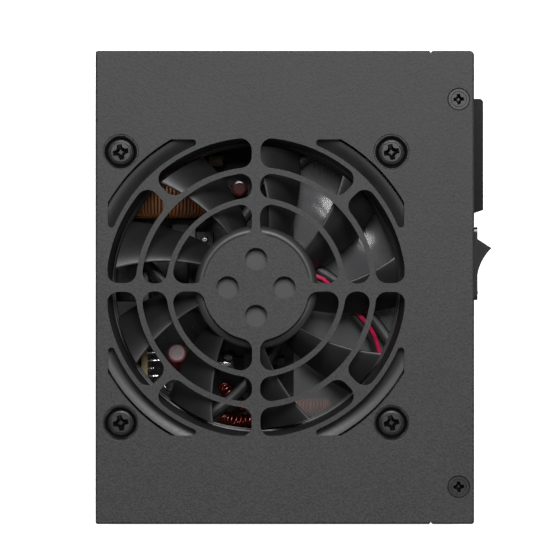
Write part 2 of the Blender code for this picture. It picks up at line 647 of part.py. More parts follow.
def fan_point(x, y, z):
    return FAN_CENTRE + mm(x, y, 0) + Vector((0, 0, FAN_BOTTOM + mm(z)))


def build_fan_leads():
    """Two leads from the motor, along one strut, out under the frame and down to their plug."""
    for name, slot, beside in (("fan_lead_red", "red_wire", 0), ("fan_lead_black", "black_wire", 1)):
        across, back = mm(-0.95, -0.95, 0) * beside, Vector((0, mm(-1.5), 0)) * beside
        route = [
            fan_point(13.9, 3.4, 2.4) + back,
            fan_point(17.9, 2.2, 2.3) + back,
            fan_point(24.2, -3.9, 2.3) + across,
            fan_point(30.2, -10.4, 2.0) + across,
            fan_point(32.4, -15.2, 0.2) + across,
            fan_point(33.6, -18.8, -1.3) + across,
            fan_point(37.0, -22.0, -1.6) + across,
            fan_point(41.5, -23.6, -2.0) + back,
            fan_point(44.5, -23.6, -8) + back,
            fan_point(44.7, -23.6, -20) + back,
            fan_point(44.4, -23.6, -30.4) + back,
        ]
        wire(name, route, mm(0.6), slot)
    box("fan_plug", mm(33.8, -28, 6.9), mm(39.8, -21, 15.4), "white_plastic")


def build_air_baffle():
    """Clear sheet under one half of the fan, with a turned-down edge, which steers the air."""
    low, high = BAFFLE_LOW, BAFFLE_LOW + mm(0.4)
    (x0, x1), half = BAFFLE_X, BAFFLE_HALF_Y
    outline = [(x0, -half), (x1 - mm(9), -half), (x1, -half + mm(9)), (x1, half - mm(9)),
               (x1 - mm(9), half), (x0, half)]
    baffle = prism("air_baffle", [outline], low, high, "clear_sheet")
    edge = box("baffle_edge", (x0, -half, low - mm(4)), (x0 + mm(0.4), half, high - mm(0.1)))
    return fuse(baffle, edge)


def chamfered_cavity():
    """The mains inlet's opening, (y, z): a rectangle with its two upper corners cut off."""
    half_y, half_z = INLET_CAVITY[0] / 2, INLET_CAVITY[1] / 2
    corner = mm(4)
    local = [(-half_y, -half_z), (half_y, -half_z), (half_y, half_z - corner),
             (half_y - corner, half_z), (-half_y + corner, half_z), (-half_y, half_z - corner)]
    return [(INLET_Y + y, INLET_Z + z) for y, z in local]


def build_inlet():
    """Mains inlet: bezel and body in one moulding, and three blades through its floor."""
    half_y, half_z = INLET_BEZEL[0] / 2, INLET_BEZEL[1] / 2
    face_x, back_x = HALF_X + GAP, HALF_X + GAP + INLET_BEZEL[2]
    # The bezel's outline in plan, (x, y): a round outer corner on one side and a slant on the other
    plan = [(face_x, INLET_Y - half_y), (back_x, INLET_Y - half_y + mm(1.0))]
    plan += arc((back_x - mm(1), INLET_Y + half_y - mm(1)), mm(1), 0, math.pi / 2, 3)
    plan += [(face_x, INLET_Y + half_y)]
    housing = prism("inlet_housing", [plan], INLET_Z - half_z, INLET_Z + half_z, "panel_plastic")
    body_y, body_z = INLET_BODY[0] / 2, INLET_BODY[1] / 2
    rear = HALF_X - INLET_BODY[2]
    fuse(housing, box("inlet_body", (rear, INLET_Y - body_y, INLET_Z - body_z),
                      (face_x + mm(1), INLET_Y + body_y, INLET_Z + body_z)))
    floor = back_x - INLET_CAVITY[2]
    cut(housing, prism("inlet_cavity", [chamfered_cavity()], floor, back_x + mm(2), turn=FACING_X))
    tip, tab = back_x - mm(5.5), rear - mm(5)
    blade_y, blade_z = mm(1), mm(2)
    pins = {"line": (mm(7), -mm(2)), "neutral": (-mm(7), -mm(2)), "earth": (0, mm(2))}
    for name, (offset_y, offset_z) in pins.items():
        middle = Vector((0, INLET_Y + offset_y, INLET_Z + offset_z))
        half = Vector((0, blade_y, blade_z))
        pin = box(f"inlet_pin_{name}", middle - half + Vector((tab, 0, 0)),
                  middle + half + Vector((tip, 0, 0)), "plated_brass")
        tapered = pin.modifiers.new("edges", "BEVEL")
        tapered.width = mm(0.4)
        tapered.segments = 1
        slack = Vector((0, mm(0.2), mm(0.2)))
        cut(housing, box(f"pin_slot_{name}", middle - half - slack + Vector((rear - mm(2), 0, 0)),
                         middle + half + slack + Vector((floor + mm(2), 0, 0))))
    return housing


def rocker_outline():
    """The rocker's side view at mid-throw, (x, y) from its pivot: a shallow dished face, round base."""
    face_mid, face_end, half_face = mm(5.16), mm(6.86), mm(6.41)
    steps = 8
    face = []
    for step in range(steps + 1):
        part = 2 * step / steps - 1
        face.append((face_mid + (face_end - face_mid) * part ** 2, half_face * part))
    upper = [(mm(2.4), mm(7.75)), (-mm(0.5), mm(7.2)), (-mm(2.5), mm(5.4)), (-mm(3.0), mm(2.5))]
    return face + upper + [(x, -y) for x, y in reversed(upper)]


def build_switch():
    """Mains switch: a bezel and body with a pocket, a rocker on two trunnions, and two terminals."""
    face_x, back_x = HALF_X + GAP, HALF_X + GAP + SWITCH_BEZEL[2]
    half_y, half_z = SWITCH_BEZEL[0] / 2, SWITCH_BEZEL[1] / 2
    bezel = rounded_rectangle((SWITCH_Y - half_y, SWITCH_Z - half_z),
                              (SWITCH_Y + half_y, SWITCH_Z + half_z), mm(1.2))
    housing = prism("switch_housing", [bezel], face_x, back_x, "panel_plastic", FACING_X)
    body_y, body_z = SWITCH_BODY[0] / 2, SWITCH_BODY[1] / 2
    rear = HALF_X - SWITCH_BODY[2]
    fuse(housing, box("switch_body", (rear, SWITCH_Y - body_y, SWITCH_Z - body_z),
                      (face_x + mm(0.8), SWITCH_Y + body_y, SWITCH_Z + body_z)))
    pocket_y, pocket_z, pocket_floor = mm(8.55), mm(5.5), PIVOT_X - mm(5.2)
    cut(housing,
        box("switch_pocket", (pocket_floor, SWITCH_Y - pocket_y, SWITCH_Z - pocket_z),
            (back_x + mm(2), SWITCH_Y + pocket_y, SWITCH_Z + pocket_z)),
        cylinder("trunnion_hole", Vector((PIVOT_X, SWITCH_Y, SWITCH_Z - mm(6.2))), mm(1.2), mm(12.4),
                 segments=16))
    pivot = Matrix.Translation((PIVOT_X, SWITCH_Y, SWITCH_Z)) @ Matrix.Rotation(-ROCKER_TILT, 4, "Z")
    rocker = prism("switch_rocker", [rocker_outline()], -mm(5.2), mm(5.2), "rocker_plastic", pivot)
    trunnion = cylinder("trunnion", Vector((PIVOT_X, SWITCH_Y, SWITCH_Z - mm(6.0))), mm(1.0), mm(12.0),
                        segments=16)
    fuse(rocker, trunnion)
    for index, side in enumerate((1, -1)):
        middle = SWITCH_Y + side * mm(4.5)
        tab = box(f"switch_terminal_{index + 1}", (rear - mm(6.5), middle - mm(0.4), SWITCH_Z - mm(2.4)),
                  (rear + mm(2), middle + mm(0.4), SWITCH_Z + mm(2.4)), "plated_brass")
        cut(housing, box(f"terminal_slot_{index}", tab_corner(tab, -1), tab_corner(tab, 1)))
    return housing


def tab_corner(tab, side):
    """A corner of a terminal's own box, let out by the clearance of its slot."""
    corners = [vertex.co for vertex in tab.data.vertices]
    pick = max if side > 0 else min
    return Vector([pick(corner[axis] for corner in corners) + side * mm(0.2) for axis in range(3)])


def build_mains_leads():
    """Leads from the inlet and switch to each other, the board and the case."""
    routes = {
        "mains_lead_line": ("brown_wire", [(28.5, 42.2, 31), (24.5, 42.2, 31.2), (21.5, 40, 33),
                                           (20.5, 34, 36), (20.5, 20, 37), (21.5, 13.5, 35),
                                           (24, 10.9, 33), (28.4, 10.9, 33)]),
        "mains_lead_switched": ("brown_wire", [(28.4, 1.9, 33), (24.5, 1.9, 32.6), (22.5, 1.6, 28),
                                               (22.5, 1, 18), (22.5, 1, 6.9)]),
        "mains_lead_neutral": ("blue_wire", [(28.5, 28.2, 31), (25.5, 28.2, 30.5), (23.6, 28.3, 26),
                                             (23.5, 27.8, 17), (23.5, 27.6, 6.9)]),
        "earth_lead": ("green_wire", [(28.5, 35.2, 35), (25.6, 35.6, 34.6), (24.6, 38.2, 30),
                                      (25.5, 43.5, 22), (28.5, 50, 15.5), (33.5, 54, 12.5),
                                      (40, 56.5, 14), (45, 57.5, 16)]),
    }
    for name, (slot, route) in routes.items():
        wire(name, [mm(*point) for point in route], mm(1.2), slot)


def build_boards():
    outline = rounded_rectangle((-mm(48), -BOARD_HALF_Y), (mm(46), BOARD_HALF_Y), mm(1.5), 1)
    board = prism("main_board", [outline], BOARD_BOTTOM, BOARD_TOP, "board")
    film = prism("insulation_sheet", [rounded_rectangle((-mm(47.5), -mm(60)), (mm(47.5), mm(60)),
                                                        mm(2), 1)], mm(1.2), mm(1.5), "insulation")
    for index, point in enumerate(BOSS_POINTS):
        cut(board, cylinder(f"board_hole_{index}", point, mm(1.6), mm(10), segments=12))
        cut(film, cylinder(f"film_hole_{index}", point, mm(5), mm(3), segments=8))
    box("socket_board", (SOCKET_BOARD_X, -mm(57), BOARD_TOP + GAP),
        (SOCKET_BOARD_X + mm(1.6), mm(13), mm(45)), "board_core")


def ring_core(name, centre, major, minor, slot, axis):
    """A wound ring, as a plain torus."""
    return turned(name, arc((major, 0), minor, math.pi / 2, -1.5 * math.pi, 8)[:-1], centre, slot, 18,
                  AXIS_TURNS[axis])


def build_chokes():
    centre = mm(-31, 25.5, 21.5)
    middle, half_wide, half_thick = mm(9.3), mm(3.2), mm(5.6)
    core_profile = [(middle + half_wide, half_thick), (middle + half_wide, -half_thick),
                    (middle - half_wide, -half_thick), (middle - half_wide, half_thick)]
    turned("pfc_choke_core", core_profile, centre, "ferrite", 24, AXIS_TURNS["-Y"])
    grow = mm(0.3)
    skin = rounded_rectangle((middle - half_wide - grow, -half_thick - grow),
                             (middle + half_wide + grow, half_thick + grow), mm(0.4), 1)
    shape = bmesh.new()
    rim = [shape.verts.new((x, 0, z)) for x, z in reversed(skin)]
    for first, second in zip(rim, rim[1:] + rim[:1]):
        shape.edges.new((first, second))
    winding = from_bmesh("pfc_choke_winding", shape, "copper",
                         Matrix.Translation(centre) @ AXIS_TURNS["-Y"]
                         @ Matrix.Rotation(math.radians(292.5), 4, "Z"))
    sweep = winding.modifiers.new("sweep", "SCREW")
    sweep.angle = math.radians(315)
    sweep.steps = sweep.render_steps = 21
    coat = winding.modifiers.new("coat", "SOLIDIFY")
    coat.thickness = mm(1.1)
    coat.offset = 1
    ring_core("mains_filter_choke", mm(12, 27, 10.4), mm(6.3), mm(3.2), "copper", "Z")
    ring_core("output_choke_1", mm(-14.1, -30.0, 25), mm(3.4), mm(1.7), "copper", "XY")
    ring_core("output_choke_2", mm(-12.3, -36.6, 22), mm(3.6), mm(1.9), "copper", "-Y")
    ring_core("output_choke_3", mm(6, -32.5, 24), mm(4.6), mm(2.3), "copper", "-Y")


def can(name, centre, radius, length, slot, axis="Z", turn=None):
    """An electrolytic capacitor: a can with rounded rims and a groove near its foot."""
    rim, groove = mm(0.6), mm(0.4)
    profile = [(0, length), (radius - rim, length), (radius, length - rim), (radius, mm(3)),
               (radius - groove, mm(2.4)), (radius, mm(1.8)), (radius, mm(0.3)), (radius - mm(0.3), 0),
               (0, 0)]
    return turned(name, profile, centre, slot, 24, turn or AXIS_TURNS[axis])


def build_components():
    on_board = BOARD_TOP + GAP
    can("bulk_capacitor", mm(-28, 47, 19.6), mm(12.5), mm(46), "sleeve", "X")
    can("output_capacitor", Vector((-mm(22), -mm(48), on_board)), mm(5), mm(25), "sleeve")
    lean = Matrix.Rotation(math.radians(-14), 4, "X")
    can("small_capacitor", Vector((-mm(29.5), -mm(22.7), on_board + mm(0.9))), mm(2.6), mm(20), "red_sleeve",
        turn=lean)
    core = box("transformer_core", mm(-15, -7, 7.4), mm(17, 7, 36), "ferrite")
    for index, side in enumerate((-1, 1)):
        middle = mm(1) + side * mm(8.5)
        cut(core, box(f"core_window_{index}", (middle - mm(3.3), -mm(9), mm(13)),
                      (middle + mm(3.3), mm(9), mm(30.4))))
    winding = box("transformer_winding", mm(-10.5, -13, 13.3), mm(12.5, 13, 30.1), "tape")
    cut(winding, box("winding_hole", mm(-4.5, -7.3, 10), mm(6.5, 7.3, 35)))
    sink = box("primary_heatsink", mm(-26, -3, 7), mm(-24.2, 16.5, 38), "aluminium")
    fuse(sink, box("primary_flange", mm(-25.5, -3, 36.4), mm(-20.5, 9, 38.0)))
    box("primary_transistor", mm(-23.9, 5, 17), mm(-19.4, 15, 35.6), "epoxy")
    box("bridge_rectifier", mm(-30.6, -2, 11), mm(-26.3, 17, 31), "epoxy")
    rail = box("secondary_heatsink", mm(-20, -21, 7), mm(0, -19.2, 31), "aluminium")
    fuse(rail, box("secondary_block", mm(-18.6, -22.2, 29), mm(-13.8, -18.4, 34.0)))
    box("filter_capacitor", mm(26, 5.5, 7), mm(33, 24, 21.5), "grey_block")


def main():
    clear_scene()
    build_base_shell()
    build_fan_cover()
    build_screws()
    build_fan_frame()
    build_fan_rotor()
    build_fan_motor()
    build_fan_leads()
    build_air_baffle()
    build_inlet()
    build_switch()
    build_mains_leads()
    build_boards()
    for name, layout in SOCKETS.items():
        build_socket(name, *layout)
    build_chokes()
    build_components()


main()
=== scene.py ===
"""The looks of a compact computer power supply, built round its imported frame. Lengths are in metres."""

import json
import math

import bmesh
import bpy
from mathutils import Matrix, Vector


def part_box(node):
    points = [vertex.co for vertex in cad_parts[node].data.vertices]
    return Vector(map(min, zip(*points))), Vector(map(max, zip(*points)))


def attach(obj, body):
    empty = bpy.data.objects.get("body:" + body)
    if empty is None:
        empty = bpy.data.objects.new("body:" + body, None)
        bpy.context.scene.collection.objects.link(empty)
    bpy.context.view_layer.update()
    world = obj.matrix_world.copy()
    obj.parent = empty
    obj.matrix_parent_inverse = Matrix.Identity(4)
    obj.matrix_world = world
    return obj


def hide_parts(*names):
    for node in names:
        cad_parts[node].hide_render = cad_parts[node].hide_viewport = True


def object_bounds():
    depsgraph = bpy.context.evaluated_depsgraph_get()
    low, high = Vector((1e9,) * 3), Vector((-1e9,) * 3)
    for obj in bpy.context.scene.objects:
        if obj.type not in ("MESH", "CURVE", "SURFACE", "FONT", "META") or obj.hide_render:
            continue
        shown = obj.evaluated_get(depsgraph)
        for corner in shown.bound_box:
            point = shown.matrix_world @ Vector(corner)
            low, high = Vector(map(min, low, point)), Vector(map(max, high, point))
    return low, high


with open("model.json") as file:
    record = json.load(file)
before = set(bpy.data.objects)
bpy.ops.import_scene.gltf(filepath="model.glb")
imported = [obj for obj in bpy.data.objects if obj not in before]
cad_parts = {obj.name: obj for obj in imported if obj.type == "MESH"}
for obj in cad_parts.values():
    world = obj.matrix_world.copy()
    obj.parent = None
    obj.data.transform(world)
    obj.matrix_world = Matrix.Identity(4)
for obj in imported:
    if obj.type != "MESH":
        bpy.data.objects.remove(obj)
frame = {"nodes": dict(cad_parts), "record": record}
cad_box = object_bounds()


def mm(*values):
    """Millimetres as metres: one number gives a number, three give a point."""
    scaled = [value * 0.001 for value in values]
    return scaled[0] if len(scaled) == 1 else Vector(scaled)


def mm_pairs(*pairs):
    """Points of an outline or profile, given in millimetres."""
    return [(mm(first), mm(second)) for first, second in pairs]


# ---------------------------------------------------------------- places, from the frame

CASE_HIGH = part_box("fan_cover")[1]
HALF_X, HALF_Y, HEIGHT = CASE_HIGH.x, CASE_HIGH.y, CASE_HIGH.z
FAN_LOW, FAN_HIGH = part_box("fan_frame")
FAN = Vector(((FAN_LOW.x + FAN_HIGH.x) / 2, (FAN_LOW.y + FAN_HIGH.y) / 2, 0))
FAN_TOP, FAN_BOTTOM = FAN_HIGH.z, FAN_LOW.z
SHEET, BEND_RADIUS = mm(0.8), mm(0.6)
UNDERSIDE = HEIGHT - SHEET
TONGUE_X = mm(38.6)


def middle(node):
    """The centre of a node's box."""
    low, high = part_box(node)
    return (low + high) / 2


# ---------------------------------------------------------------- materials

class Shade:
    """A node material under construction: a Principled shader and short ways to drive it with patterns."""

    def __init__(self, name, roughness=0.5, metallic=0.0, **sockets):
        self.material = bpy.data.materials.new(name)
        self.material.use_nodes = True
        self.tree = self.material.node_tree
        self.shader = self.tree.nodes["Principled BSDF"]
        self.place = self.tree.nodes.new("ShaderNodeTexCoord").outputs["Object"]
        self.set("Roughness", roughness)
        self.set("Metallic", metallic)
        for socket, value in sockets.items():
            self.set(socket.replace("_", " "), value)

    def set(self, socket, value):
        self.shader.inputs[socket].default_value = value

    def node(self, kind, inputs=None, **settings):
        made = self.tree.nodes.new(kind)
        for key, value in settings.items():
            setattr(made, key, value)
        for key, value in (inputs or {}).items():
            if isinstance(value, bpy.types.NodeSocket):
                self.tree.links.new(value, made.inputs[key])
            else:
                made.inputs[key].default_value = value
        return made

    def stretched(self, scale):
        """Object coordinates, scaled differently along each axis, for brushed or laminated patterns."""
        return self.node("ShaderNodeMapping", {"Vector": self.place, "Scale": scale}).outputs["Vector"]

    def noise(self, scale, detail=2.0, rough=0.5, vector=None):
        made = self.node("ShaderNodeTexNoise", {"Vector": vector or self.place, "Scale": scale,
                                                "Detail": detail, "Roughness": rough})
        return made.outputs["Fac"]

    def cells(self, scale, feature="F1"):
        made = self.node("ShaderNodeTexVoronoi", {"Vector": self.place, "Scale": scale}, feature=feature)
        return made.outputs["Distance"]

    def bands(self, scale, distortion=0.0):
        """Layers stacked along Z."""
        made = self.node("ShaderNodeTexWave", {"Vector": self.place, "Scale": scale,
                                               "Distortion": distortion}, bands_direction="Z")
        return made.outputs["Fac"]

    def ramp(self, value, stops):
        """A colour ramp: stops are (position, colour) pairs."""
        made = self.node("ShaderNodeValToRGB", {"Fac": value})
        ramp = made.color_ramp
        while len(ramp.elements) < len(stops):
            ramp.elements.new(0.5)
        for element, (position, colour) in zip(ramp.elements, stops):
            element.position = position
            element.color = (*colour, 1)
        return made.outputs["Color"]

    def mix(self, amount, first, second):
        """Two colour patterns blended; the node's colour sockets go by number: 0, 6, 7 in and 2 out."""
        made = self.node("ShaderNodeMix", {0: amount, 6: first, 7: second}, data_type="RGBA")
        return made.outputs[2]

    def spread(self, value, low, high):
        """A pattern's 0 to 1 mapped to low to high, for roughness."""
        return self.node("ShaderNodeMapRange", {"Value": value, "To Min": low, "To Max": high}
                         ).outputs["Result"]

    def drive(self, socket, value):
        self.tree.links.new(value, self.shader.inputs[socket])

    def tint(self, pattern, colour, darker, lighter, lift=0.0, stops=(0.3, 0.7)):
        """Drives the base colour with a pattern, from a darker to a lighter tone of one colour."""
        low = tuple(channel * darker for channel in colour)
        high = tuple(min(1, channel * lighter + lift) for channel in colour)
        self.drive("Base Color", self.ramp(pattern, ((stops[0], low), (stops[1], high))))

    def bump(self, value, depth, strength):
        made = self.node("ShaderNodeBump", {"Height": value, "Distance": depth, "Strength": strength})
        self.drive("Normal", made.outputs["Normal"])


def grey(value):
    return (value, value, value)


def powder_coat():
    """Black powder coat: fine pebbled grain with slight mottling."""
    made = Shade("powder_coat", roughness=0.55, Specular_IOR_Level=0.4)
    grain = made.noise(1900, 3, 0.65)
    broad = made.noise(60, 2)
    fine = made.ramp(grain, ((0.32, grey(0.004)), (0.68, grey(0.062))))
    wide = made.ramp(broad, ((0.3, grey(0.018)), (0.7, grey(0.025))))
    made.drive("Base Color", made.mix(0.4, fine, wide))
    made.drive("Roughness", made.spread(grain, 0.4, 0.68))
    made.bump(grain, mm(0.07), 0.9)
    return made.material


def smooth_moulding(name, colour, roughness, coat=0.0):
    """Moulded plastic: faint flow marks and a very slight waviness."""
    made = Shade(name, roughness=roughness, Coat_Weight=coat)
    speckle = made.noise(1800, 2, 0.5)
    made.tint(made.noise(90, 3, 0.5), colour, 0.82, 1.22)
    made.drive("Roughness", made.spread(speckle, roughness * 0.85, min(1, roughness * 1.2)))
    made.bump(speckle, mm(0.01), 0.25)
    return made.material


def spark_textured(name, colour, roughness):
    """Plastic from a spark-eroded mould: even fine pits."""
    made = Shade(name, roughness=roughness)
    pits = made.cells(2400)
    made.tint(made.noise(120, 2), colour, 0.8, 1.25)
    made.drive("Roughness", made.spread(pits, roughness * 0.9, min(1, roughness * 1.15)))
    made.bump(pits, mm(0.02), 0.35)
    return made.material


def worn_metal(name, colour, roughness, scratch=(40, 900, 900), metallic=1.0):
    """Bare or plated metal: drawn lines, stains and fine scratches."""
    made = Shade(name, roughness=roughness, metallic=metallic)
    lines = made.noise(1, 4, 0.6, made.stretched(scratch))
    made.tint(made.noise(350, 3), colour, 0.72, 1.15, stops=(0.32, 0.68))
    made.drive("Roughness", made.spread(lines, roughness * 0.7, min(1, roughness * 1.35)))
    made.bump(lines, mm(0.01), 0.3)
    return made.material


def enamelled_wire(name, dark, bright, metallic=0.55, roughness=0.34):
    """Lacquered copper wire: warm metal under a clear glossy coat, darker where it overheated."""
    made = Shade(name, roughness=roughness, metallic=metallic, Coat_Weight=0.9, Coat_Roughness=0.2)
    shade = made.noise(240, 3)
    made.drive("Base Color", made.ramp(shade, ((0.3, dark), (0.7, bright))))
    made.drive("Roughness", made.spread(made.noise(1500, 2), roughness * 0.8, roughness * 1.2))
    return made.material


def insulated_wire(name, colour):
    """PVC insulation: soft sheen, faint drawing lines."""
    made = Shade(name, roughness=0.42)
    marks = made.noise(1400, 2)
    made.tint(made.noise(400, 2), colour, 0.78, 1.2, lift=0.004)
    made.drive("Roughness", made.spread(marks, 0.34, 0.52))
    made.bump(marks, mm(0.012), 0.2)
    return made.material


def solder_mask():
    """Dark green board: mask over copper tracks, with pale pads."""
    made = Shade("solder_mask", roughness=0.35, Coat_Weight=0.3)
    tracks = made.cells(220, feature="DISTANCE_TO_EDGE")
    copper = made.ramp(tracks, ((0.05, (0.0015, 0.005, 0.0025)), (0.09, (0.002, 0.008, 0.004))))
    pads = made.cells(520)
    dots = made.ramp(pads, ((0.1, (0.09, 0.085, 0.08)), (0.14, (0.002, 0.007, 0.003))))
    mask = made.ramp(pads, ((0.1, grey(1)), (0.14, grey(0))))
    made.drive("Base Color", made.mix(mask, copper, dots))
    made.drive("Roughness", made.spread(tracks, 0.28, 0.5))
    made.bump(tracks, mm(0.04), 0.4)
    return made.material


def bare_laminate():
    """Edge of a glass-fibre board: tan, layered."""
    made = Shade("bare_laminate", roughness=0.55)
    fibre = made.noise(900, 3)
    tan = made.ramp(made.bands(900, 1.5), ((0.2, (0.34, 0.25, 0.11)), (0.8, (0.55, 0.43, 0.23))))
    glass = made.ramp(fibre, ((0.3, (0.24, 0.18, 0.08)), (0.7, (0.62, 0.5, 0.3))))
    made.drive("Base Color", made.mix(0.35, tan, glass))
    made.bump(fibre, mm(0.03), 0.4)
    return made.material


def clear_film():
    """Thin clear plastic sheet, slightly smoky and hazy."""
    made = Shade("clear_film", roughness=0.16, Alpha=0.4, Specular_IOR_Level=0.4)
    haze = made.noise(45, 1)
    made.drive("Base Color", made.ramp(haze, ((0.3, (0.15, 0.15, 0.156)), (0.7, (0.18, 0.18, 0.188)))))
    made.drive("Roughness", made.spread(haze, 0.1, 0.2))
    return made.material


def sintered(name, colour):
    """Pressed ferrite or sintered bronze: dense, grainy, chalky."""
    made = Shade(name, roughness=0.72)
    grain = made.noise(1500, 4, 0.7)
    made.tint(grain, colour, 0.65, 1.4)
    made.bump(grain, mm(0.05), 0.5)
    return made.material


def laminated_steel():
    """A stack of thin punched sheets."""
    made = Shade("laminated_steel", roughness=0.42, metallic=0.9)
    stack = made.bands(700)
    made.drive("Base Color", made.ramp(stack, ((0.35, grey(0.12)), (0.6, grey(0.36)))))
    made.bump(stack, mm(0.08), 0.6)
    return made.material


def shrink_sleeve(name, colour):
    """Heat-shrunk PVC: glossy with long soft wrinkles."""
    made = Shade(name, roughness=0.3, Coat_Weight=0.25)
    folds = made.noise(1, 3, 0.5, made.stretched((700, 700, 60)))
    made.tint(folds, colour, 0.8, 1.25, lift=0.003)
    made.drive("Roughness", made.spread(folds, 0.22, 0.42))
    made.bump(folds, mm(0.06), 0.4)
    return made.material


def wound_tape(name, shade, light):
    """Insulating tape, in overlapping turns."""
    made = Shade(name, roughness=0.38, Coat_Weight=0.2)
    turns = made.bands(160, 0.4)
    made.drive("Base Color", made.ramp(turns, ((0.3, shade), (0.7, light))))
    made.bump(turns, mm(0.08), 0.5)
    return made.material


def floor_paint():
    """Matt white that glows faintly, so that the backdrop stays pale."""
    made = Shade("floor_paint", roughness=0.9, Specular_IOR_Level=0.1, Emission_Strength=0.95)
    made.drive("Base Color", made.ramp(made.noise(6, 2), ((0.3, grey(0.87)), (0.7, grey(0.89)))))
    made.set("Emission Color", (1, 1, 1, 1))
    return made.material


LOOKS = {
    "black_steel": powder_coat(),
    "zinc_steel": worn_metal("black_zinc", (0.028, 0.028, 0.029), 0.34, (1200, 1200, 60), 0.4),
    "fan_plastic": smooth_moulding("fan_plastic", (0.013, 0.013, 0.014), 0.42),
    "panel_plastic": spark_textured("panel_plastic", (0.022, 0.022, 0.023), 0.24),
    "rocker_plastic": smooth_moulding("rocker_plastic", (0.018, 0.018, 0.019), 0.19),
    "plated_brass": worn_metal("plated_brass", (0.74, 0.66, 0.46), 0.26),
    "steel": worn_metal("bright_steel", (0.6, 0.6, 0.61), 0.28),
    "magnet": sintered("ring_magnet", (0.07, 0.065, 0.06)),
    "lamination": laminated_steel(),
    "bronze": sintered("sintered_bronze", (0.42, 0.26, 0.12)),
    "copper": enamelled_wire("enamelled_copper", (1.0, 0.33, 0.09), (1.0, 0.58, 0.32)),
    "red_wire": insulated_wire("red_insulation", (0.55, 0.012, 0.075)),
    "black_wire": insulated_wire("black_insulation", (0.018, 0.018, 0.02)),
    "blue_wire": insulated_wire("blue_insulation", (0.02, 0.06, 0.34)),
    "brown_wire": insulated_wire("brown_insulation", (0.11, 0.04, 0.015)),
    "green_wire": insulated_wire("green_insulation", (0.04, 0.28, 0.05)),
    "white_plastic": smooth_moulding("white_nylon", (0.66, 0.65, 0.6), 0.45),
    "clear_sheet": clear_film(),
    "board": solder_mask(),
    "board_core": bare_laminate(),
    "insulation": smooth_moulding("insulating_film", (0.7, 0.66, 0.5), 0.4),
    "ferrite": sintered("ferrite", (0.032, 0.032, 0.035)),
    "tape": wound_tape("amber_tape", (0.022, 0.016, 0.007), (0.045, 0.033, 0.013)),
    "aluminium": worn_metal("dark_anodised", (0.06, 0.06, 0.062), 0.42, (900, 900, 40)),
    "sleeve": shrink_sleeve("dark_sleeve", (0.03, 0.03, 0.038)),
    "red_sleeve": shrink_sleeve("red_sleeve", (0.62, 0.1, 0.15)),
    "grey_block": spark_textured("grey_block", (0.15, 0.15, 0.16), 0.5),
    "epoxy": spark_textured("epoxy", (0.03, 0.03, 0.031), 0.55),
}
RED_COPPER = enamelled_wire("red_lacquer_copper", (0.16, 0.012, 0.008), (0.5, 0.09, 0.07), 0.9, 0.24)
# Painted light: a more diffuse copy of the copper, so the coil seen through the baffle reads brighter.
LIT_COPPER = enamelled_wire("lit_copper_wire", (1.0, 0.24, 0.07), (1.0, 0.45, 0.24), 0.3, 0.4)
# Painted shade: a near-black copy of the copper wire, for the filter coil lying in shade under the fan and
# baffle.
SHADED_COPPER = insulated_wire("shaded_copper_wire", (0.02, 0.011, 0.007))
FRAME_PLASTIC = smooth_moulding("frame_plastic", (0.014, 0.014, 0.015), 0.4)
# Painted light: a lighter copy of the fan plastic for the hub's top and rim, so they read brighter.
LIT_HUB_PLASTIC = smooth_moulding("lit_hub_plastic", (0.03, 0.03, 0.031), 0.42)
GLOSSY_BLACK = smooth_moulding("glossy_black", (0.01, 0.01, 0.011), 0.13)
SATIN_BLACK = smooth_moulding("satin_black", (0.02, 0.02, 0.021), 0.2)
# Painted shade: a near-black material that darkens the screw recesses and the dimples round the fan screws.
SHADE_BLACK = spark_textured("painted_shade_black", (0.003, 0.003, 0.003), 0.3)
BLACK_TAPE = wound_tape("black_tape", (0.008, 0.008, 0.008), (0.016, 0.016, 0.016))
SOLDER = worn_metal("solder", (0.72, 0.72, 0.72), 0.22, (900, 900, 900))
DARK_RED = smooth_moulding("dark_red_sleeve", (0.1, 0.014, 0.014), 0.16)
OLIVE = smooth_moulding("olive_dip", (0.16, 0.14, 0.06), 0.35, 0.3)
CAP_TOP = worn_metal("pressed_aluminium", (0.5, 0.4, 0.41), 0.5, metallic=0.3)
SLOT_OF = {part["node"]: part["material_slot"] for part in frame["record"]["subparts"]}


# ---------------------------------------------------------------- shaping

def finish_piece(piece, slot, body="case", look=None):
    """Gives a new piece its material, and lets it ride on its body."""
    piece.data.materials.clear()
    piece.data.materials.append(look or LOOKS[slot])
    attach(piece, body)
    return piece


def mesh_object(name, shape, matrix=None):
    data = bpy.data.meshes.new(name)
    shape.to_mesh(data)
    shape.free()
    made = bpy.data.objects.new(name, data)
    bpy.context.scene.collection.objects.link(made)
    if matrix is not None:
        made.matrix_world = matrix
    return made


def settle(piece):
    """Replaces a piece's mesh by its evaluated one, so that no modifier is left."""
    bpy.context.view_layer.update()
    graph = bpy.context.evaluated_depsgraph_get()
    data = bpy.data.meshes.new_from_object(piece.evaluated_get(graph))
    if piece.type != "MESH":
        settled = bpy.data.objects.new(piece.name, data)
        settled.matrix_world = piece.matrix_world
        name = piece.name
        bpy.data.objects.remove(piece)
        bpy.context.scene.collection.objects.link(settled)
        settled.name = name
        return settled
    piece.modifiers.clear()
    piece.data = data
    return piece


def smooth(piece, degrees=35):
    """Smooth shading that keeps edges sharper than the angle."""
    piece.data.shade_smooth()
    piece.data.set_sharp_from_angle(angle=math.radians(degrees))
    return piece


def box(name, low, high, bevel=0.0, segments=2):
    low, high = Vector(low), Vector(high)
    shape = bmesh.new()
    bmesh.ops.create_cube(shape, size=1)
    bmesh.ops.scale(shape, vec=high - low, verts=shape.verts)
    bmesh.ops.translate(shape, vec=(low + high) / 2, verts=shape.verts)
    if bevel:
        bmesh.ops.bevel(shape, geom=shape.edges[:], offset=bevel, segments=segments, affect="EDGES",
                        profile=0.5)
    return mesh_object(name, shape)


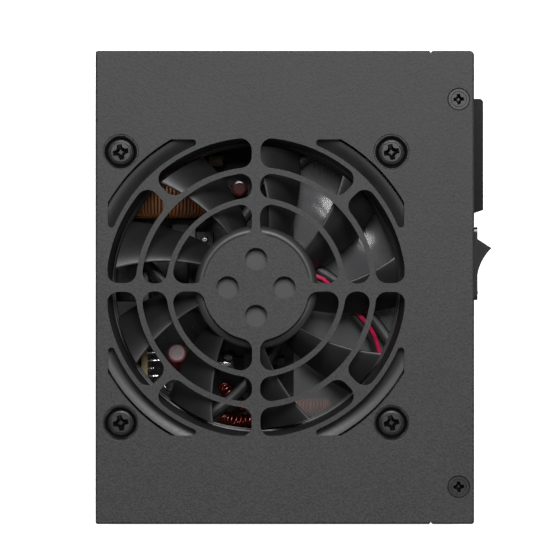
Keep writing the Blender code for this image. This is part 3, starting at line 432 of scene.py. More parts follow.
def cylinder(name, start, radius, length, segments):
    shape = bmesh.new()
    bmesh.ops.create_cone(shape, cap_ends=True, segments=segments, radius1=radius, radius2=radius,
                          depth=length)
    bmesh.ops.translate(shape, vec=Vector(start) + Vector((0, 0, length / 2)), verts=shape.verts)
    return mesh_object(name, shape)


def turned(name, profile, matrix, steps=64):
    """A solid of revolution about local Z: profile is (radius, height) points down its outer side."""
    shape = bmesh.new()
    rim = [shape.verts.new((radius, 0, height)) for radius, height in profile]
    for first, second in zip(rim, rim[1:]):
        shape.edges.new((first, second))
    if profile[0][0] > 0:
        shape.edges.new((rim[-1], rim[0]))
    made = mesh_object(name, shape, matrix)
    screw = made.modifiers.new("turn", "SCREW")
    screw.steps = screw.render_steps = steps
    screw.use_merge_vertices = True
    screw.merge_threshold = mm(0.005)
    return settle(made)


def arc(centre, radius, start, stop, steps):
    """Points along a circle from one angle to another."""
    angles = [start + (stop - start) * step / steps for step in range(steps + 1)]
    return [(centre[0] + radius * math.cos(a), centre[1] + radius * math.sin(a)) for a in angles]


def turned_outline(outline, angle, centre=(0, 0)):
    """An outline turned about the origin, then moved to centre."""
    c, s = math.cos(angle), math.sin(angle)
    return [(centre[0] + c * x - s * y, centre[1] + s * x + c * y) for x, y in outline]


def prism(name, outlines, low, high, matrix=Matrix.Identity(4)):
    """Flat outlines, filled and extruded from low to high along local Z."""
    curve = bpy.data.curves.new(name, "CURVE")
    curve.dimensions = "2D"
    curve.fill_mode = "BOTH"
    curve.extrude = (high - low) / 2
    for outline in outlines:
        spline = curve.splines.new("POLY")
        spline.points.add(len(outline) - 1)
        for point, (x, y) in zip(spline.points, outline):
            point.co = (x, y, 0, 1)
        spline.use_cyclic_u = True
    holder = bpy.data.objects.new(name, curve)
    bpy.context.scene.collection.objects.link(holder)
    holder.matrix_world = matrix @ Matrix.Translation((0, 0, (low + high) / 2))
    made = settle(holder)
    shape = bmesh.new()
    shape.from_mesh(made.data)
    bmesh.ops.remove_doubles(shape, verts=shape.verts, dist=mm(0.001))
    shape.to_mesh(made.data)
    shape.free()
    return made


def boolean(target, cutters, operation="DIFFERENCE"):
    """Cuts from or fuses to target, at once, and removes the other pieces."""
    for cutter in cutters:
        step = target.modifiers.new(operation, "BOOLEAN")
        step.operation = operation
        step.object = cutter
    settle(target)
    for cutter in cutters:
        bpy.data.objects.remove(cutter)
    return target


def soften(piece, width, degrees=40):
    """Small rounded edges on everything sharper than the angle, with clean flat faces."""
    bevel = piece.modifiers.new("edges", "BEVEL")
    bevel.width = width
    bevel.segments = 2
    bevel.limit_method = "ANGLE"
    bevel.angle_limit = math.radians(degrees)
    bevel.use_clamp_overlap = True
    weighted = piece.modifiers.new("flat_faces", "WEIGHTED_NORMAL")
    weighted.keep_sharp = True
    piece.data.shade_smooth()


def tube(name, points, radius, resolution=3):
    """A round wire along points."""
    curve = bpy.data.curves.new(name, "CURVE")
    curve.dimensions = "3D"
    curve.bevel_depth = radius
    curve.bevel_resolution = resolution
    curve.use_fill_caps = True
    spline = curve.splines.new("POLY")
    spline.points.add(len(points) - 1)
    for knot, point in zip(spline.points, points):
        knot.co = (*point, 1)
    made = bpy.data.objects.new(name, curve)
    bpy.context.scene.collection.objects.link(made)
    made = settle(made)
    made.data.shade_smooth()
    return made


def joined(name, pieces):
    """One object out of several meshes."""
    shape = bmesh.new()
    for piece in pieces:
        copy = piece.data.copy()
        copy.transform(piece.matrix_world)
        shape.from_mesh(copy)
        bpy.data.meshes.remove(copy)
        bpy.data.objects.remove(piece)
    return mesh_object(name, shape)


# ---------------------------------------------------------------- camera, lights, floor

VIEW_CENTRE, STAND_OFF, VIEW_ACROSS = mm(-1.28, 1.97, 0), mm(1050), mm(147.8)
KEY_PLACE, KEY_SIZE, KEY_POWER = (0.04, 0.45, 1.17), 0.5, 13.0
FILL_REACH, FILL_HEIGHT, FILL_SIZE, FILL_POWER = 1.4, 0.14, 0.8, 4.0
AMBIENT = 0.15


def build_studio():
    """Camera straight above the fan side, a soft light high beyond +Y and four low ones for the sides."""
    scene = bpy.context.scene
    scene.view_settings.view_transform = "Standard"
    lens = bpy.data.cameras.new("camera")
    lens.sensor_width = 36
    lens.lens = lens.sensor_width * STAND_OFF / VIEW_ACROSS
    lens.clip_start, lens.clip_end = 0.05, 20
    camera = bpy.data.objects.new("camera", lens)
    camera.location = VIEW_CENTRE + Vector((0, 0, HEIGHT + STAND_OFF))
    scene.collection.objects.link(camera)
    scene.camera = camera

    world = bpy.data.worlds.new("studio")
    world.use_nodes = True
    sky = world.node_tree.nodes["Background"].inputs
    sky["Color"].default_value = (1, 1, 1, 1)
    sky["Strength"].default_value = AMBIENT
    scene.world = world
    add_softbox("key", KEY_PLACE, KEY_SIZE, KEY_POWER)
    for index in range(4):
        turn = math.radians(45 + 90 * index)
        place = (FILL_REACH * math.cos(turn), FILL_REACH * math.sin(turn), FILL_HEIGHT)
        add_softbox(f"fill_{index + 1}", place, FILL_SIZE, FILL_POWER)

    shape = bmesh.new()
    bmesh.ops.create_grid(shape, x_segments=1, y_segments=1, size=3)
    floor = mesh_object("floor", shape)
    floor.location.z = cad_box[0][2] - mm(0.2)
    floor.data.materials.append(floor_paint())
    floor.visible_diffuse = floor.visible_glossy = False


def add_softbox(name, place, size, power):
    """A round area light that looks at the top of the case."""
    data = bpy.data.lights.new(name, "AREA")
    data.shape = "DISK"
    data.size = size
    data.energy = power
    lamp = bpy.data.objects.new(name, data)
    lamp.location = place
    aim = Vector((0, 0, HEIGHT)) - Vector(place)
    lamp.rotation_euler = aim.to_track_quat("-Z", "Y").to_euler()
    bpy.context.scene.collection.objects.link(lamp)


# ---------------------------------------------------------------- cover

SPOKE_HALF, WEB_HALF, SLOT_FILLET = mm(1.05), mm(1.25), mm(3.0)
RING_SLOTS = ((mm(14.0), mm(22.3)), (mm(23.75), mm(30.3)))
OUTER_SLOTS, CORNER_SLOTS = (mm(31.8), mm(39.6)), (mm(40.8), mm(45.1))
CORNER_SQUARE, CORNER_TIP = mm(39.1), mm(0.9)       # half side of the fan's opening, and a tip's radius
HUB_HOLE_RADIUS, HUB_HOLE_OFFSET = mm(2.95), mm(7.5)
FAN_SCREWS = [middle(f"fan_screw_{index}") for index in range(1, 5)]
COVER_SCREWS = [middle(f"cover_screw_{index}") for index in range(1, 3)]


def ring_slot(radii, half_span, half_web):
    """Outline of a grille slot about the X axis: two arcs, ends parallel to the webs, round corners."""
    inner, outer = radii
    along = Vector((math.cos(half_span), -math.sin(half_span)))
    inward = Vector((math.sin(half_span), math.cos(half_span)))
    offset = half_web + SLOT_FILLET
    far = along * math.sqrt((outer - SLOT_FILLET) ** 2 - offset ** 2) + inward * offset
    near = along * math.sqrt((inner + SLOT_FILLET) ** 2 - offset ** 2) + inward * offset
    edge = math.atan2(-inward.y, -inward.x)
    far_angle, near_angle = math.atan2(far.y, far.x), math.atan2(near.y, near.x)
    half = arc((0, 0), inner, 0, near_angle, 14)[:-1]
    half += arc(near, SLOT_FILLET, near_angle + math.pi, edge + 2 * math.pi, 8)
    half += arc(far, SLOT_FILLET, edge, far_angle, 8)
    half += arc((0, 0), outer, far_angle, 0, 16)[1:]
    return half + [(x, -y) for x, y in reversed(half[1:-1])]


def corner_slot():
    """Outline of a crescent about the diagonal of the first quadrant, clipped by the fan's square."""
    inner, outer = CORNER_SLOTS
    tip = Vector((CORNER_SQUARE - CORNER_TIP, 0))
    tip.y = math.sqrt((inner + CORNER_TIP) ** 2 - tip.x ** 2)
    tip_angle = math.atan2(tip.y, tip.x)
    clip_angle = math.acos(CORNER_SQUARE / outer)
    half = arc((0, 0), inner, math.pi / 4, tip_angle, 16)[:-1]
    half += arc(tip, CORNER_TIP, tip_angle - math.pi, 0, 7)
    half += arc((0, 0), outer, clip_angle, math.pi / 4, 14)
    return half + [(y, x) for x, y in reversed(half[1:-1])]


def grille_outlines():
    outlines = []
    for quadrant in range(4):
        start = quadrant * math.pi / 2
        for radii in RING_SLOTS:
            outlines.append((ring_slot(radii, math.pi / 4, SPOKE_HALF), start + math.pi / 4))
        for side in (1, 3):
            slot = ring_slot(OUTER_SLOTS, math.pi / 8, (SPOKE_HALF + WEB_HALF) / 2)
            outlines.append((slot, start + side * math.pi / 8))
        outlines.append((corner_slot(), start))
        outlines.append((arc((HUB_HOLE_OFFSET, 0), HUB_HOLE_RADIUS, 0, 2 * math.pi, 48)[:-1], start))
    return [turned_outline(outline, angle, FAN) for outline, angle in outlines]


def corner_waste(side, radius):
    """What a rounded rear corner of the cover leaves off, in plan; side is 1 or -1 along Y."""
    beyond = mm(1)
    round_edge = arc((HALF_X - radius, HALF_Y - radius), radius, 0, math.pi / 2, 8)
    outline = [(HALF_X + beyond, HALF_Y - radius), *round_edge, (HALF_X - radius, HALF_Y + beyond),
               (HALF_X + beyond, HALF_Y + beyond)]
    return [(x, y * side) for x, y in outline]


def notch_waste(side):
    """The small nick where a flange ends and the flat tongue begins."""
    edge, outside, deepest = HALF_Y - mm(0.2), HALF_Y + mm(1), HALF_Y - mm(0.6)
    outline = [(mm(-0.45), outside), (mm(-0.45), edge), (mm(-0.15), deepest), (mm(0.25), deepest),
               (mm(0.5), edge), (mm(0.5), outside)]
    return [(TONGUE_X + x, y * side) for x, y in outline]


def build_cover():
    """The lid of bent sheet: grille plate, two flanges, short front lip and flat rear tongue."""
    cover = box("cover_sheet", (-HALF_X, -HALF_Y, -mm(2)), CASE_HIGH, BEND_RADIUS, 6)
    inside = Vector((HALF_X - SHEET, HALF_Y - SHEET, UNDERSIDE))
    flange_low, lip_low, lip_half = mm(0.9), mm(57.5), mm(61.2)
    relief_x, relief_y, relief_top = -mm(48.75), mm(61.0), UNDERSIDE - mm(0.7)
    reach, far = mm(5), mm(70)
    boolean(cover, [
        box("hollow", (-inside.x, -inside.y, -reach), inside),
        box("open_bottom", (-far, -far, -reach), (far, far, flange_low)),
        box("open_rear", (TONGUE_X, -far, -reach), (far, far, UNDERSIDE - mm(0.02))),
        box("open_front", (-far, -lip_half, -reach), (-mm(45), lip_half, lip_low)),
        box("relief_left", (-far, relief_y, -reach), (relief_x, far, relief_top)),
        box("relief_right", (-far, -far, -reach), (relief_x, -relief_y, relief_top)),
    ])
    waste = [notch_waste(1), notch_waste(-1), corner_waste(1, mm(1.3)), corner_waste(-1, mm(0.7))]
    boolean(cover, [prism("waste", waste, UNDERSIDE - mm(3), HEIGHT + mm(2))])
    boolean(cover, [prism("slots", grille_outlines(), UNDERSIDE - mm(2), HEIGHT + mm(2))])
    cup = mm_pairs((0, -0.3), (5.3, -0.3), (4.7, -1.9), (4.2, -2.0), (0, -2.0))
    press = mm_pairs((0, 0.6), (5.0, 0.6), (5.0, 0.02), (4.7, -0.05), (4.55, -0.25), (3.8, -1.1),
                     (3.6, -1.27), (3.3, -1.32), (2.2, -1.32), (2.2, -2.6), (0, -2.6))
    sink = mm_pairs((0, 0.5), (3.35, 0.5), (3.0, 0), (2.95, -0.25), (1.9, -0.9), (1.9, -1.4), (0, -1.4))
    for name, points, profile, operation in (("cup", FAN_SCREWS, cup, "UNION"),
                                             ("press", FAN_SCREWS, press, "DIFFERENCE"),
                                             ("sink", COVER_SCREWS, sink, "DIFFERENCE")):
        tools = [turned(f"{name}_{index}", profile, Matrix.Translation((point.x, point.y, HEIGHT)))
                 for index, point in enumerate(points)]
        boolean(cover, tools, operation)
    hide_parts("fan_cover")
    soften(cover, mm(0.26))
    finish_piece(cover, "black_steel")


# ---------------------------------------------------------------- screws

def cross_recess(name, size, depth, angle):
    """The tapered cross that a cross-head driver fits, about local Z, from its top down."""
    outline = []
    wide, taper, over = size * 0.3, 0.3, mm(0.4)
    for quarter in range(4):
        outline += turned_outline([(size, -wide), (size, wide), (wide * 1.9, wide * 1.15),
                                   (wide * 1.15, wide * 1.9)], quarter * math.pi / 2 + angle)
    shape = bmesh.new()
    levels = ((1.05, over), (1.0, 0), (taper, -depth))
    rings = [[shape.verts.new((x * grow, y * grow, z)) for x, y in outline] for grow, z in levels]
    for upper, lower in zip(rings, rings[1:]):
        for index in range(len(outline)):
            after = (index + 1) % len(outline)
            shape.faces.new((upper[index], lower[index], lower[after], upper[after]))
    shape.faces.new(rings[0])
    shape.faces.new(list(reversed(rings[-1])))
    bmesh.ops.recalc_face_normals(shape, faces=shape.faces)
    return mesh_object(name, shape)


FAN_SCREW_TURN, LID_SCREW_TURN = math.radians(11), math.radians(3)


def build_screw(name, replaced, point, top, profile, recess, angle):
    """One cross-head screw: a turned body with a recess, and painted shade, a near-black material, on the
    recess walls and floor.
    """
    place = Matrix.Translation((point.x, point.y, top))
    screw = turned(name, profile, place)
    depth, face_depth, floor_depth = mm(1.9), mm(0.07), mm(1.6)
    cross = cross_recess(name + "_cross", recess, depth, angle)
    cross.matrix_world = place
    boolean(screw, [cross])
    smooth(screw, 25)
    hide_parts(replaced)
    finish_piece(screw, "zinc_steel")
    # Painted shade: the recess walls and floor take the near-black second material.
    screw.data.materials.append(SHADE_BLACK)
    for face in screw.data.polygons:
        across, below = math.hypot(face.center.x, face.center.y), -face.center.z
        is_wall = below > face_depth and across < recess and abs(face.normal.z) < 0.98
        is_floor = below > floor_depth and across < recess * 0.7
        if is_wall or is_floor:
            face.material_index = 1


def build_screws():
    """Pan-head screws with a turned ring on the head, painted shade as a near-black ring in the dimple
    round each, and flush screws in the tongue.
    """
    top = HEIGHT - mm(0.05)
    pan = mm_pairs((0, -0.02), (2.5, -0.05), (2.62, -0.12), (2.72, -0.04), (2.86, -0.06), (2.98, -0.3),
                   (3.12, -0.34), (3.2, -0.28), (3.33, -0.42), (3.35, -1.0), (3.3, -1.15), (1.4, -1.15),
                   (1.4, -7.8), (0, -8.6))
    flat = mm_pairs((0, 0), (1.95, 0), (2.02, -0.06), (2.1, -0.02), (2.7, -0.02), (2.8, -0.14),
                    (2.75, -0.3), (1.4, -1.15), (1.4, -4.4), (0, -5))
    # Painted shade: a near-black ring lying on the wall of each fan screw's dimple, to darken it.
    shade_ring = mm_pairs((4.53, -0.2), (4.45, -0.45), (3.7, -1.2), (3.4, -1.22), (3.42, -1.02), (4.35, -0.2))
    for index, point in enumerate(FAN_SCREWS):
        build_screw(f"case_fan_screw_{index + 1}", f"fan_screw_{index + 1}", point, top, pan,
                    mm(2.1), FAN_SCREW_TURN)
        ring = turned(f"screw_shade_ring_{index + 1}", shade_ring, Matrix.Translation((point.x, point.y, HEIGHT)))
        smooth(ring, 40)
        finish_piece(ring, "panel_plastic", look=SHADE_BLACK)
    for index, point in enumerate(COVER_SCREWS):
        build_screw(f"lid_screw_{index + 1}", f"cover_screw_{index + 1}", point, top, flat,
                    mm(1.4), LID_SCREW_TURN)


# ---------------------------------------------------------------- fan

HUB_RADIUS, TIP_RADIUS, BORE_RADIUS = mm(16.3), mm(37.5), mm(38.4)
BLADES, FIRST_BLADE, BLADE_ROOT = 9, math.radians(3.3), mm(15.6)
BLADE_LEAD, LEAD_PER_MM, LEAD_RADIUS = -4.5, 0.675, 17.2       # degrees, and millimetres from the axis
BLADE_CHORD, BLADE_SET, BLADE_DROP, BLADE_CAMBER = math.radians(20.5), mm(1.9), mm(8.4), 1.6
BLADE_EDGE, BLADE_SWELL = mm(0.08), mm(0.42)
FAN_ORIGIN = Matrix.Translation(FAN)


def lofted(name, sections, matrix=None):
    """A closed body through closed rings of points, capped at both ends."""
    shape = bmesh.new()
    rings = [[shape.verts.new(point) for point in section] for section in sections]
    for first, second in zip(rings, rings[1:]):
        for index in range(len(first)):
            after = (index + 1) % len(first)
            shape.faces.new((first[index], first[after], second[after], second[index]))
    shape.faces.new(list(reversed(rings[0])))
    shape.faces.new(rings[-1])
    bmesh.ops.recalc_face_normals(shape, faces=shape.faces)
    return mesh_object(name, shape, matrix)


def blade(angle):
    """A swept, cambered blade of even thickness with rounded edges."""
    along, rim = 12, 0.035
    parts = [0, 0.004, 0.014, rim, *[step / 14 for step in range(1, 14)], 1 - rim, 0.986, 0.996, 1]
    sections = []
    for i in range(along + 1):
        radius = BLADE_ROOT + (TIP_RADIUS - BLADE_ROOT) * i / along
        lead = math.radians(BLADE_LEAD + LEAD_PER_MM * (radius / mm(1) - LEAD_RADIUS))
        upper, lower = [], []
        for part in parts:
            turn = angle + lead - BLADE_CHORD * part
            height = FAN_TOP - BLADE_SET - BLADE_DROP * part ** BLADE_CAMBER
            inward = min(1, part / rim, (1 - part) / rim)
            half = BLADE_EDGE + BLADE_SWELL * math.sqrt(1 - (1 - inward) ** 2)
            x, y = radius * math.cos(turn), radius * math.sin(turn)
            upper.append((x, y, height + half))
            lower.append((x, y, height - half))
        sections.append(upper + lower[::-1])
    return lofted("blade", sections, FAN_ORIGIN)


def build_rotor():
    """Cup-shaped hub with a raised, rounded rim and nine blades."""
    top, bottom = FAN_TOP - mm(0.8), FAN_BOTTOM + mm(4.2)
    wall, bead, ceiling, margin = mm(0.8), mm(1.7), top - mm(2), mm(0.12)
    rim = arc((HUB_RADIUS - bead, top - bead), bead, math.radians(122), 0, 12)
    flat_edge, flat_top = rim[0][0] - margin, rim[0][1]
    profile = [(0, flat_top), (flat_edge - margin, flat_top), (flat_edge, flat_top), *rim]
    profile += [(HUB_RADIUS, bottom), (HUB_RADIUS - wall, bottom), (HUB_RADIUS - wall, ceiling),
                (0, ceiling)]
    hub = turned("hub", profile, FAN_ORIGIN, 96)
    blades = [blade(FIRST_BLADE + 2 * math.pi * index / BLADES) for index in range(BLADES)]
    rotor = smooth(joined("rotor", [hub, *blades]), 35)
    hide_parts("fan_rotor")
    finish_piece(rotor, "fan_plastic", "fan")
    # Painted light: the faces of the hub's top and rounded rim take the lighter copy of the fan plastic.
    rotor.data.materials.append(LIT_HUB_PLASTIC)
    for face in rotor.data.polygons:
        centre = rotor.matrix_world @ face.center
        if centre.z > top - bead and math.hypot(centre.x - FAN.x, centre.y - FAN.y) < HUB_RADIUS:
            face.material_index = 1


def build_fan_frame():
    """Square frame with a bell-mouthed bore, screw holes, four swept struts and the motor base."""
    half, corner = (FAN_HIGH.x - FAN_LOW.x) / 2, mm(4)
    to_top, to_bottom = Matrix.Translation((FAN.x, 0, FAN_TOP)), Matrix.Translation((FAN.x, 0, FAN_BOTTOM))
    outline = []
    for x, y, start in ((1, -1, -90), (1, 1, 0), (-1, 1, 90), (-1, -1, 180)):
        centre = (FAN.x + x * (half - corner), y * (half - corner))
        outline += arc(centre, corner, math.radians(start), math.radians(start + 90), 8)
    body = prism("fan_body", [outline], FAN_BOTTOM, FAN_TOP)
    upper, lower = BORE_RADIUS - mm(0.35), BORE_RADIUS - mm(0.7)
    bore = [(0, mm(1)), (BORE_RADIUS, mm(1)), (BORE_RADIUS, mm(-8.2)), (upper, mm(-8.3)),
            (upper, mm(-11.4)), (lower, mm(-11.5)), (lower, mm(-16)), (0, mm(-16))]
    boolean(body, [turned("bore", bore, to_top, 128)])
    rise, widen, moat, moat_depth, above, steps = mm(6.5), mm(6.2), mm(2.0), mm(3.5), mm(2), 12
    edge = BORE_RADIUS + widen
    mouth = [(0, above), (edge + moat, above), (edge + moat, -moat_depth), (edge + mm(0.1), -moat_depth),
             (edge, 0)]
    for step in range(1, steps + 1):
        turn = math.pi / 2 * (1 - step / steps)
        mouth.append((BORE_RADIUS + widen * (1 - math.cos(turn)), -rise * (1 - math.sin(turn))))
    mouth.append((0, -rise))
    flare = turned("mouth", mouth, to_top, 128)
    inner = half - mm(0.8)
    boolean(flare, [box("mouth_limit", (FAN.x - inner, -inner, FAN_TOP - mm(8)),
                        (FAN.x + inner, inner, FAN_TOP + mm(1)))], "INTERSECT")
    boolean(body, [flare])
    boolean(body, [cylinder(f"hole_{index}", (point.x, point.y, FAN_BOTTOM - mm(1)), mm(1.75), mm(17), 32)
                   for index, point in enumerate(FAN_SCREWS)])
    base_profile = mm_pairs((14.4, 1.6), (15, 1.2), (15, 0), (4.2, 0), (3.3, 1), (3.3, 10.5), (4.4, 10.5),
                            (4.4, 1.6))
    base = turned("motor_base", base_profile, to_bottom, 96)
    struts = [strut(f"strut_{arm}", arm * math.pi / 2) for arm in range(4)]
    frame_piece = smooth(joined("fan_housing", [body, base, *struts]), 30)
    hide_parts("fan_frame")
    finish_piece(frame_piece, "fan_plastic", look=FRAME_PLASTIC)


STRUT_LINE = (mm(12.4, 6.6, 0), mm(25.5, 1.5, 0), mm(37, -16.7, 0))
STRUT_SECTION = ((-1.5, 0.1), (-1.5, 0.7), (-1.2, 1.2), (-0.5, 1.5), (0.5, 1.5), (1.2, 1.2), (1.5, 0.7),
                 (1.5, 0.1))


def strut(name, angle):
    """A fan strut of rounded section, along a curve from the motor base to the frame."""
    start, pull, stop = STRUT_LINE
    rings = []
    steps = 12
    for step in range(steps + 1):
        part = step / steps
        point = start * (1 - part) ** 2 + pull * 2 * part * (1 - part) + stop * part ** 2
        along = ((pull - start) * (1 - part) + (stop - pull) * part).normalized()
        side = Vector((-along.y, along.x, 0))
        rings.append([point + side * mm(across) + Vector((0, 0, mm(up))) for across, up in STRUT_SECTION])
    place = Matrix.Translation((FAN.x, 0, FAN_BOTTOM)) @ Matrix.Rotation(angle, 4, "Z")
    return lofted(name, rings, place)


# ---------------------------------------------------------------- wound coils

UPRIGHT = math.radians(90)
RING_TURNS = {
    "Z": Matrix.Identity(4),
    "Y": Matrix.Rotation(UPRIGHT, 4, "X"),
    "XY": Matrix.Rotation(math.radians(45), 4, "Z") @ Matrix.Rotation(UPRIGHT, 4, "Y"),
}


def wound_ring(name, replaced, ring, half_wide, half_thick, turns, wire_radius, sweep=360, start=0,
               axis="Z", look=None, boxy=0.5, steps=14, core=None):
    """Wire wound round a ring core in one piece; boxy below 1 squares off the section of its turns."""
    centre = middle(core or replaced)
    turn_to = RING_TURNS[axis]
    points = []
    total = turns * steps
    for step in range(total + 1):
        part = step / total
        along = math.radians(start + sweep * part)
        around = 2 * math.pi * turns * part
        c, s = math.cos(around), math.sin(around)
        radius = ring + half_wide * math.copysign(abs(c) ** boxy, c)
        height = half_thick * math.copysign(abs(s) ** boxy, s)
        point = Vector((radius * math.cos(along), radius * math.sin(along), height))
        points.append(turn_to @ point + centre)
    coil = tube(name, points, wire_radius, 2)
    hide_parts(replaced)
    return finish_piece(coil, "copper", look=look)


def build_coils():
    """The coils: the big one leaves a gap at its bottom, and the others go all the way round."""
    wound_ring("pfc_coil", "pfc_choke_winding", mm(9.3), mm(4.1), mm(6.45), 72, mm(0.4), sweep=312,
               start=294, axis="Y", boxy=0.4, steps=16, core="pfc_choke_core")
    # Painted shade: the filter coil's wire is near-black.
    wound_ring("filter_coil", "mains_filter_choke", mm(6.3), mm(2.7), mm(2.7), 30, mm(0.45), boxy=0.7,
               look=SHADED_COPPER)
    wound_ring("output_coil_1", "output_choke_1", mm(3.4), mm(1.4), mm(1.4), 23, mm(0.36), axis="XY",
               look=RED_COPPER, boxy=0.7)
    wound_ring("output_coil_2", "output_choke_2", mm(3.6), mm(1.6), mm(1.6), 25, mm(0.36), axis="Y",
               look=RED_COPPER, boxy=0.7)
    # Painted light: the third output coil takes the brighter copy of the copper.
    wound_ring("output_coil_3", "output_choke_3", mm(4.6), mm(1.95), mm(1.95), 40, mm(0.36), axis="Y",
               look=LIT_COPPER, boxy=0.7)


# ---------------------------------------------------------------- baffle and the parts behind the fan

FILM_RIDGES = (       # where a soft ridge in the baffle is, and its height
    (mm(11.3, 17.8, 0), mm(0.72)), (mm(21.5, 8.6, 0), mm(0.7)), (mm(23.4, -25.2, 0), mm(0.7)),
    (mm(6.0, 11.6, 0), mm(0.5)),
)
RIDGE_SPREAD, FILM_CORNER, FILM_THICKNESS = mm(3.4), mm(9), mm(0.3)


def build_baffle():
    """A thin clear sheet with soft ridges, cut-off corners and a turned-down edge."""
    low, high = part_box("air_baffle")
    across, along = 48, 120
    shape = bmesh.new()
    grid = []
    for i in range(across + 1):
        x = low.x + (high.x - low.x) * i / across
        half = high.y - max(0, x - (high.x - FILM_CORNER))
        row = []
        for j in range(along + 1):
            y = half * (2 * j / along - 1)
            lift = sum(height * math.exp(-((x - spot.x) ** 2 + (y - spot.y) ** 2) / (2 * RIDGE_SPREAD ** 2))
                       for spot, height in FILM_RIDGES)
            row.append(shape.verts.new((x, y, high.z + lift)))
        grid.append(row)
    fold = [shape.verts.new((low.x, vertex.co.y, low.z)) for vertex in grid[0]]
    grid.insert(0, fold)
    for first, second in zip(grid, grid[1:]):
        for j in range(along):
            shape.faces.new((first[j], second[j], second[j + 1], first[j + 1]))
    film = mesh_object("baffle_film", shape)
    thick = film.modifiers.new("thickness", "SOLIDIFY")
    thick.thickness = FILM_THICKNESS
    settle(film)
    smooth(film, 50)
    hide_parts("air_baffle")
    finish_piece(film, "clear_sheet")


def pan_screw(name, place, radius):
    """A small cross-head screw head, its underside at place."""
    height = radius * 0.62
    dome = ((0, 1), (0.55, 0.96), (0.86, 0.7), (1, 0.2), (1, 0), (0, 0))
    profile = [(radius * across, height * up) for across, up in dome]
    head = turned(name, profile, Matrix.Translation(place), 32)
    cross = cross_recess(name + "_cross", radius * 0.55, height * 0.6, math.radians(20))
    cross.location = Vector(place) + Vector((0, 0, height))
    boolean(head, [cross])
    smooth(head, 30)
    finish_piece(head, "steel")


def rounded_block(name, low, high, radius, slot, look=None):
    """A small component body with rounded edges."""
    block = box(name, low, high, radius, 3)
    smooth(block, 40)
    finish_piece(block, slot, look=look)


def build_socket_board_details():
    """Black tape over part of the upright board's edge, and uneven solder joints on its face."""
    low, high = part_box("socket_board")
    skin, tape_deep, tape_end = mm(0.35), mm(3), -mm(15.8)
    sleeve = box("board_edge_tape", (low.x - skin, tape_end, high.z - tape_deep),
                 (high.x + skin, high.y + mm(0.2), high.z + skin), mm(0.15), 2)
    smooth(sleeve, 40)
    finish_piece(sleeve, "black_wire", look=BLACK_TAPE)

    pins = []
    first_y, pitch = -mm(17.6), mm(2.1)
    upper_drop, lower_drop, stagger, lower_share = mm(1.4), mm(4.6), mm(0.5), 1.3
    for index, reach in enumerate((mm(1.7), mm(2.5), mm(1.3), mm(2.2), mm(1.5))):
        for drop, share in ((upper_drop + stagger * (index % 2), 1), (lower_drop, lower_share)):
            point = (high.x, first_y - pitch * index, high.z - drop)
            tip = reach * share
            fillet = [(0, tip), (mm(0.3), tip - mm(0.12)),
                      *mm_pairs((0.34, 0.9), (0.6, 0.45), (0.85, 0.1), (0.9, 0), (0, 0))]
            place = Matrix.Translation(point) @ Matrix.Rotation(UPRIGHT, 4, "Y")
            pins.append(turned("pin", fillet, place, 20))
    joints = smooth(joined("socket_board_joints", pins), 45)
    finish_piece(joints, "steel", look=SOLDER)


def build_small_cans():
    """The bare top of the leaning red-sleeved capacitor, and a slim dark red can by the big coil."""
    lean, length, radius = math.radians(-14), mm(20), mm(2.6)
    place = Matrix.Translation(mm(-29.5, -22.7, 7.8)) @ Matrix.Rotation(lean, 4, "X")
    profile = [(0, length + mm(0.12)), (radius - mm(0.5), length + mm(0.12)),
               (radius - mm(0.34), length + mm(0.02)), (radius - mm(0.32), length - mm(0.1)),
               (0, length - mm(0.1))]
    disc = smooth(turned("small_capacitor_top", profile, place, 48), 30)
    finish_piece(disc, "aluminium", look=CAP_TOP)

    profile = mm_pairs((0, 21), (1.5, 21), (1.6, 21.15), (2.0, 21.1), (2.15, 20.7), (2.15, 2.6),
                       (1.95, 2.2), (2.15, 1.8), (2.15, 0.2), (0, 0))
    can = turned("start_capacitor", profile, Matrix.Translation(mm(-12.4, 26.9, 7.0)), 40)
    finish_piece(smooth(can, 30), "red_sleeve", look=DARK_RED)


def build_blocks():
    """Small component bodies, and the screws and a tab on the heat sinks."""
    rounded_block("line_capacitor", mm(-20.8, 33.0, 7), mm(-16.6, 36.0, 32), mm(0.6), "grey_block", OLIVE)
    rounded_block("rectifier_tab", mm(-6.2, -19.2, 20), mm(-1.0, -16.0, 30.6), mm(0.3), "epoxy")
    pan_screw("rectifier_screw", mm(-3.5, -17.7, 30.6), mm(1.5))
    pan_screw("block_screw", mm(-15.3, -18.9, 34.0), mm(1.2))
    transistor_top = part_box("primary_transistor")[1].z
    pan_screw("transistor_screw_1", (-mm(21.7), mm(12.8), transistor_top), mm(1.1))
    pan_screw("transistor_screw_2", (-mm(21.2), mm(8.0), transistor_top), mm(0.9))
    rounded_block("block_tab", mm(-18.5, -21.6, 33.9), mm(-14.4, -20.1, 34.5), mm(0.2), "steel", SOLDER)


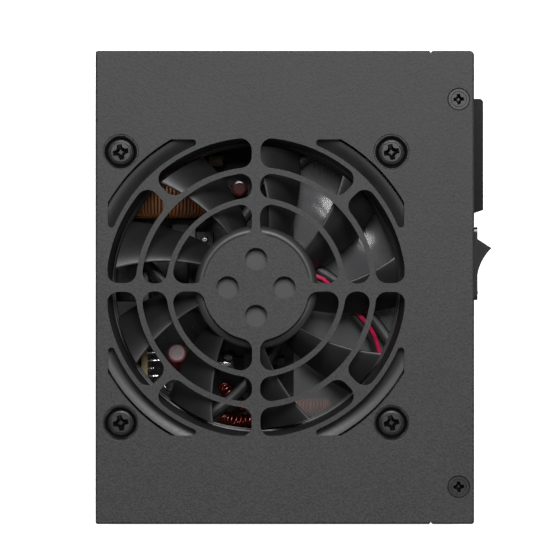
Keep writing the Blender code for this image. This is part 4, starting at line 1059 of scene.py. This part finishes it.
def build_jumpers():
    """Two stiff loops of wire that stand up from the main board."""
    arch = [(-30.6, -28.6, 12), (-30.4, -29.2, 24), (-29.6, -30.3, 27.2), (-28, -30.8, 28),
            (-26.4, -30.3, 27.2), (-25.6, -29.2, 24), (-25.4, -28.6, 12)]
    loop = tube("jumper_loop", [mm(*point) for point in spline(arch)], mm(0.45))
    finish_piece(loop, "copper")
    tinned = [(-31.4, -23.6, 12), (-31.8, -24.0, 24), (-32.6, -25.2, 27), (-32.9, -26.6, 27.4),
              (-32.2, -28.0, 26), (-31.8, -28.4, 12)]
    loop = tube("tinned_jumper", [mm(*point) for point in spline(tinned)], mm(0.3))
    finish_piece(loop, "steel", look=SOLDER)


def spline(points, parts=6):
    """Points on a smooth curve through the given points: cubic pieces with the slope of the chords."""
    ends = [Vector(point) for point in (points[0], *points, points[-1])]
    found = [ends[0]]
    for before, start, stop, after in zip(ends, ends[1:], ends[2:], ends[3:]):
        leave, arrive = (stop - before) / 2, (after - start) / 2
        for step in range(1, parts + 1):
            t = step / parts
            found.append(start * (2 * t ** 3 - 3 * t ** 2 + 1) + leave * (t ** 3 - 2 * t ** 2 + t)
                         + stop * (3 * t ** 2 - 2 * t ** 3) + arrive * (t ** 3 - t ** 2))
    return found


# ---------------------------------------------------------------- rear panel parts

SOCKETS = ("motherboard_socket", "drive_socket", "cpu_socket", "graphics_socket_1", "graphics_socket_2")


def build_panel_parts():
    """Rounded edges on the inlet, the switch and its rocker, and on the cable sockets."""
    widths = {"inlet_housing": mm(0.3), "switch_housing": mm(0.35), "switch_rocker": mm(0.3)}
    widths.update(dict.fromkeys(SOCKETS, mm(0.12)))
    for name, width in widths.items():
        soften(frame["nodes"][name], width)


# ---------------------------------------------------------------- CAD nodes that stay

NODE_LOOKS = {"inlet_housing": GLOSSY_BLACK, **dict.fromkeys(("switch_housing", *SOCKETS), SATIN_BLACK)}


def dress_nodes():
    """Gives every CAD node its material, and smooth shading to each one that is still shown."""
    for name, node in frame["nodes"].items():
        node.data.materials.clear()
        node.data.materials.append(NODE_LOOKS.get(name, LOOKS[SLOT_OF[name]]))
        if not node.hide_render:
            smooth(node, 32)


def main():
    build_studio()
    build_cover()
    build_screws()
    build_rotor()
    build_fan_frame()
    build_coils()
    build_baffle()
    build_socket_board_details()
    build_small_cans()
    build_blocks()
    build_jumpers()
    build_panel_parts()
    dress_nodes()


main()
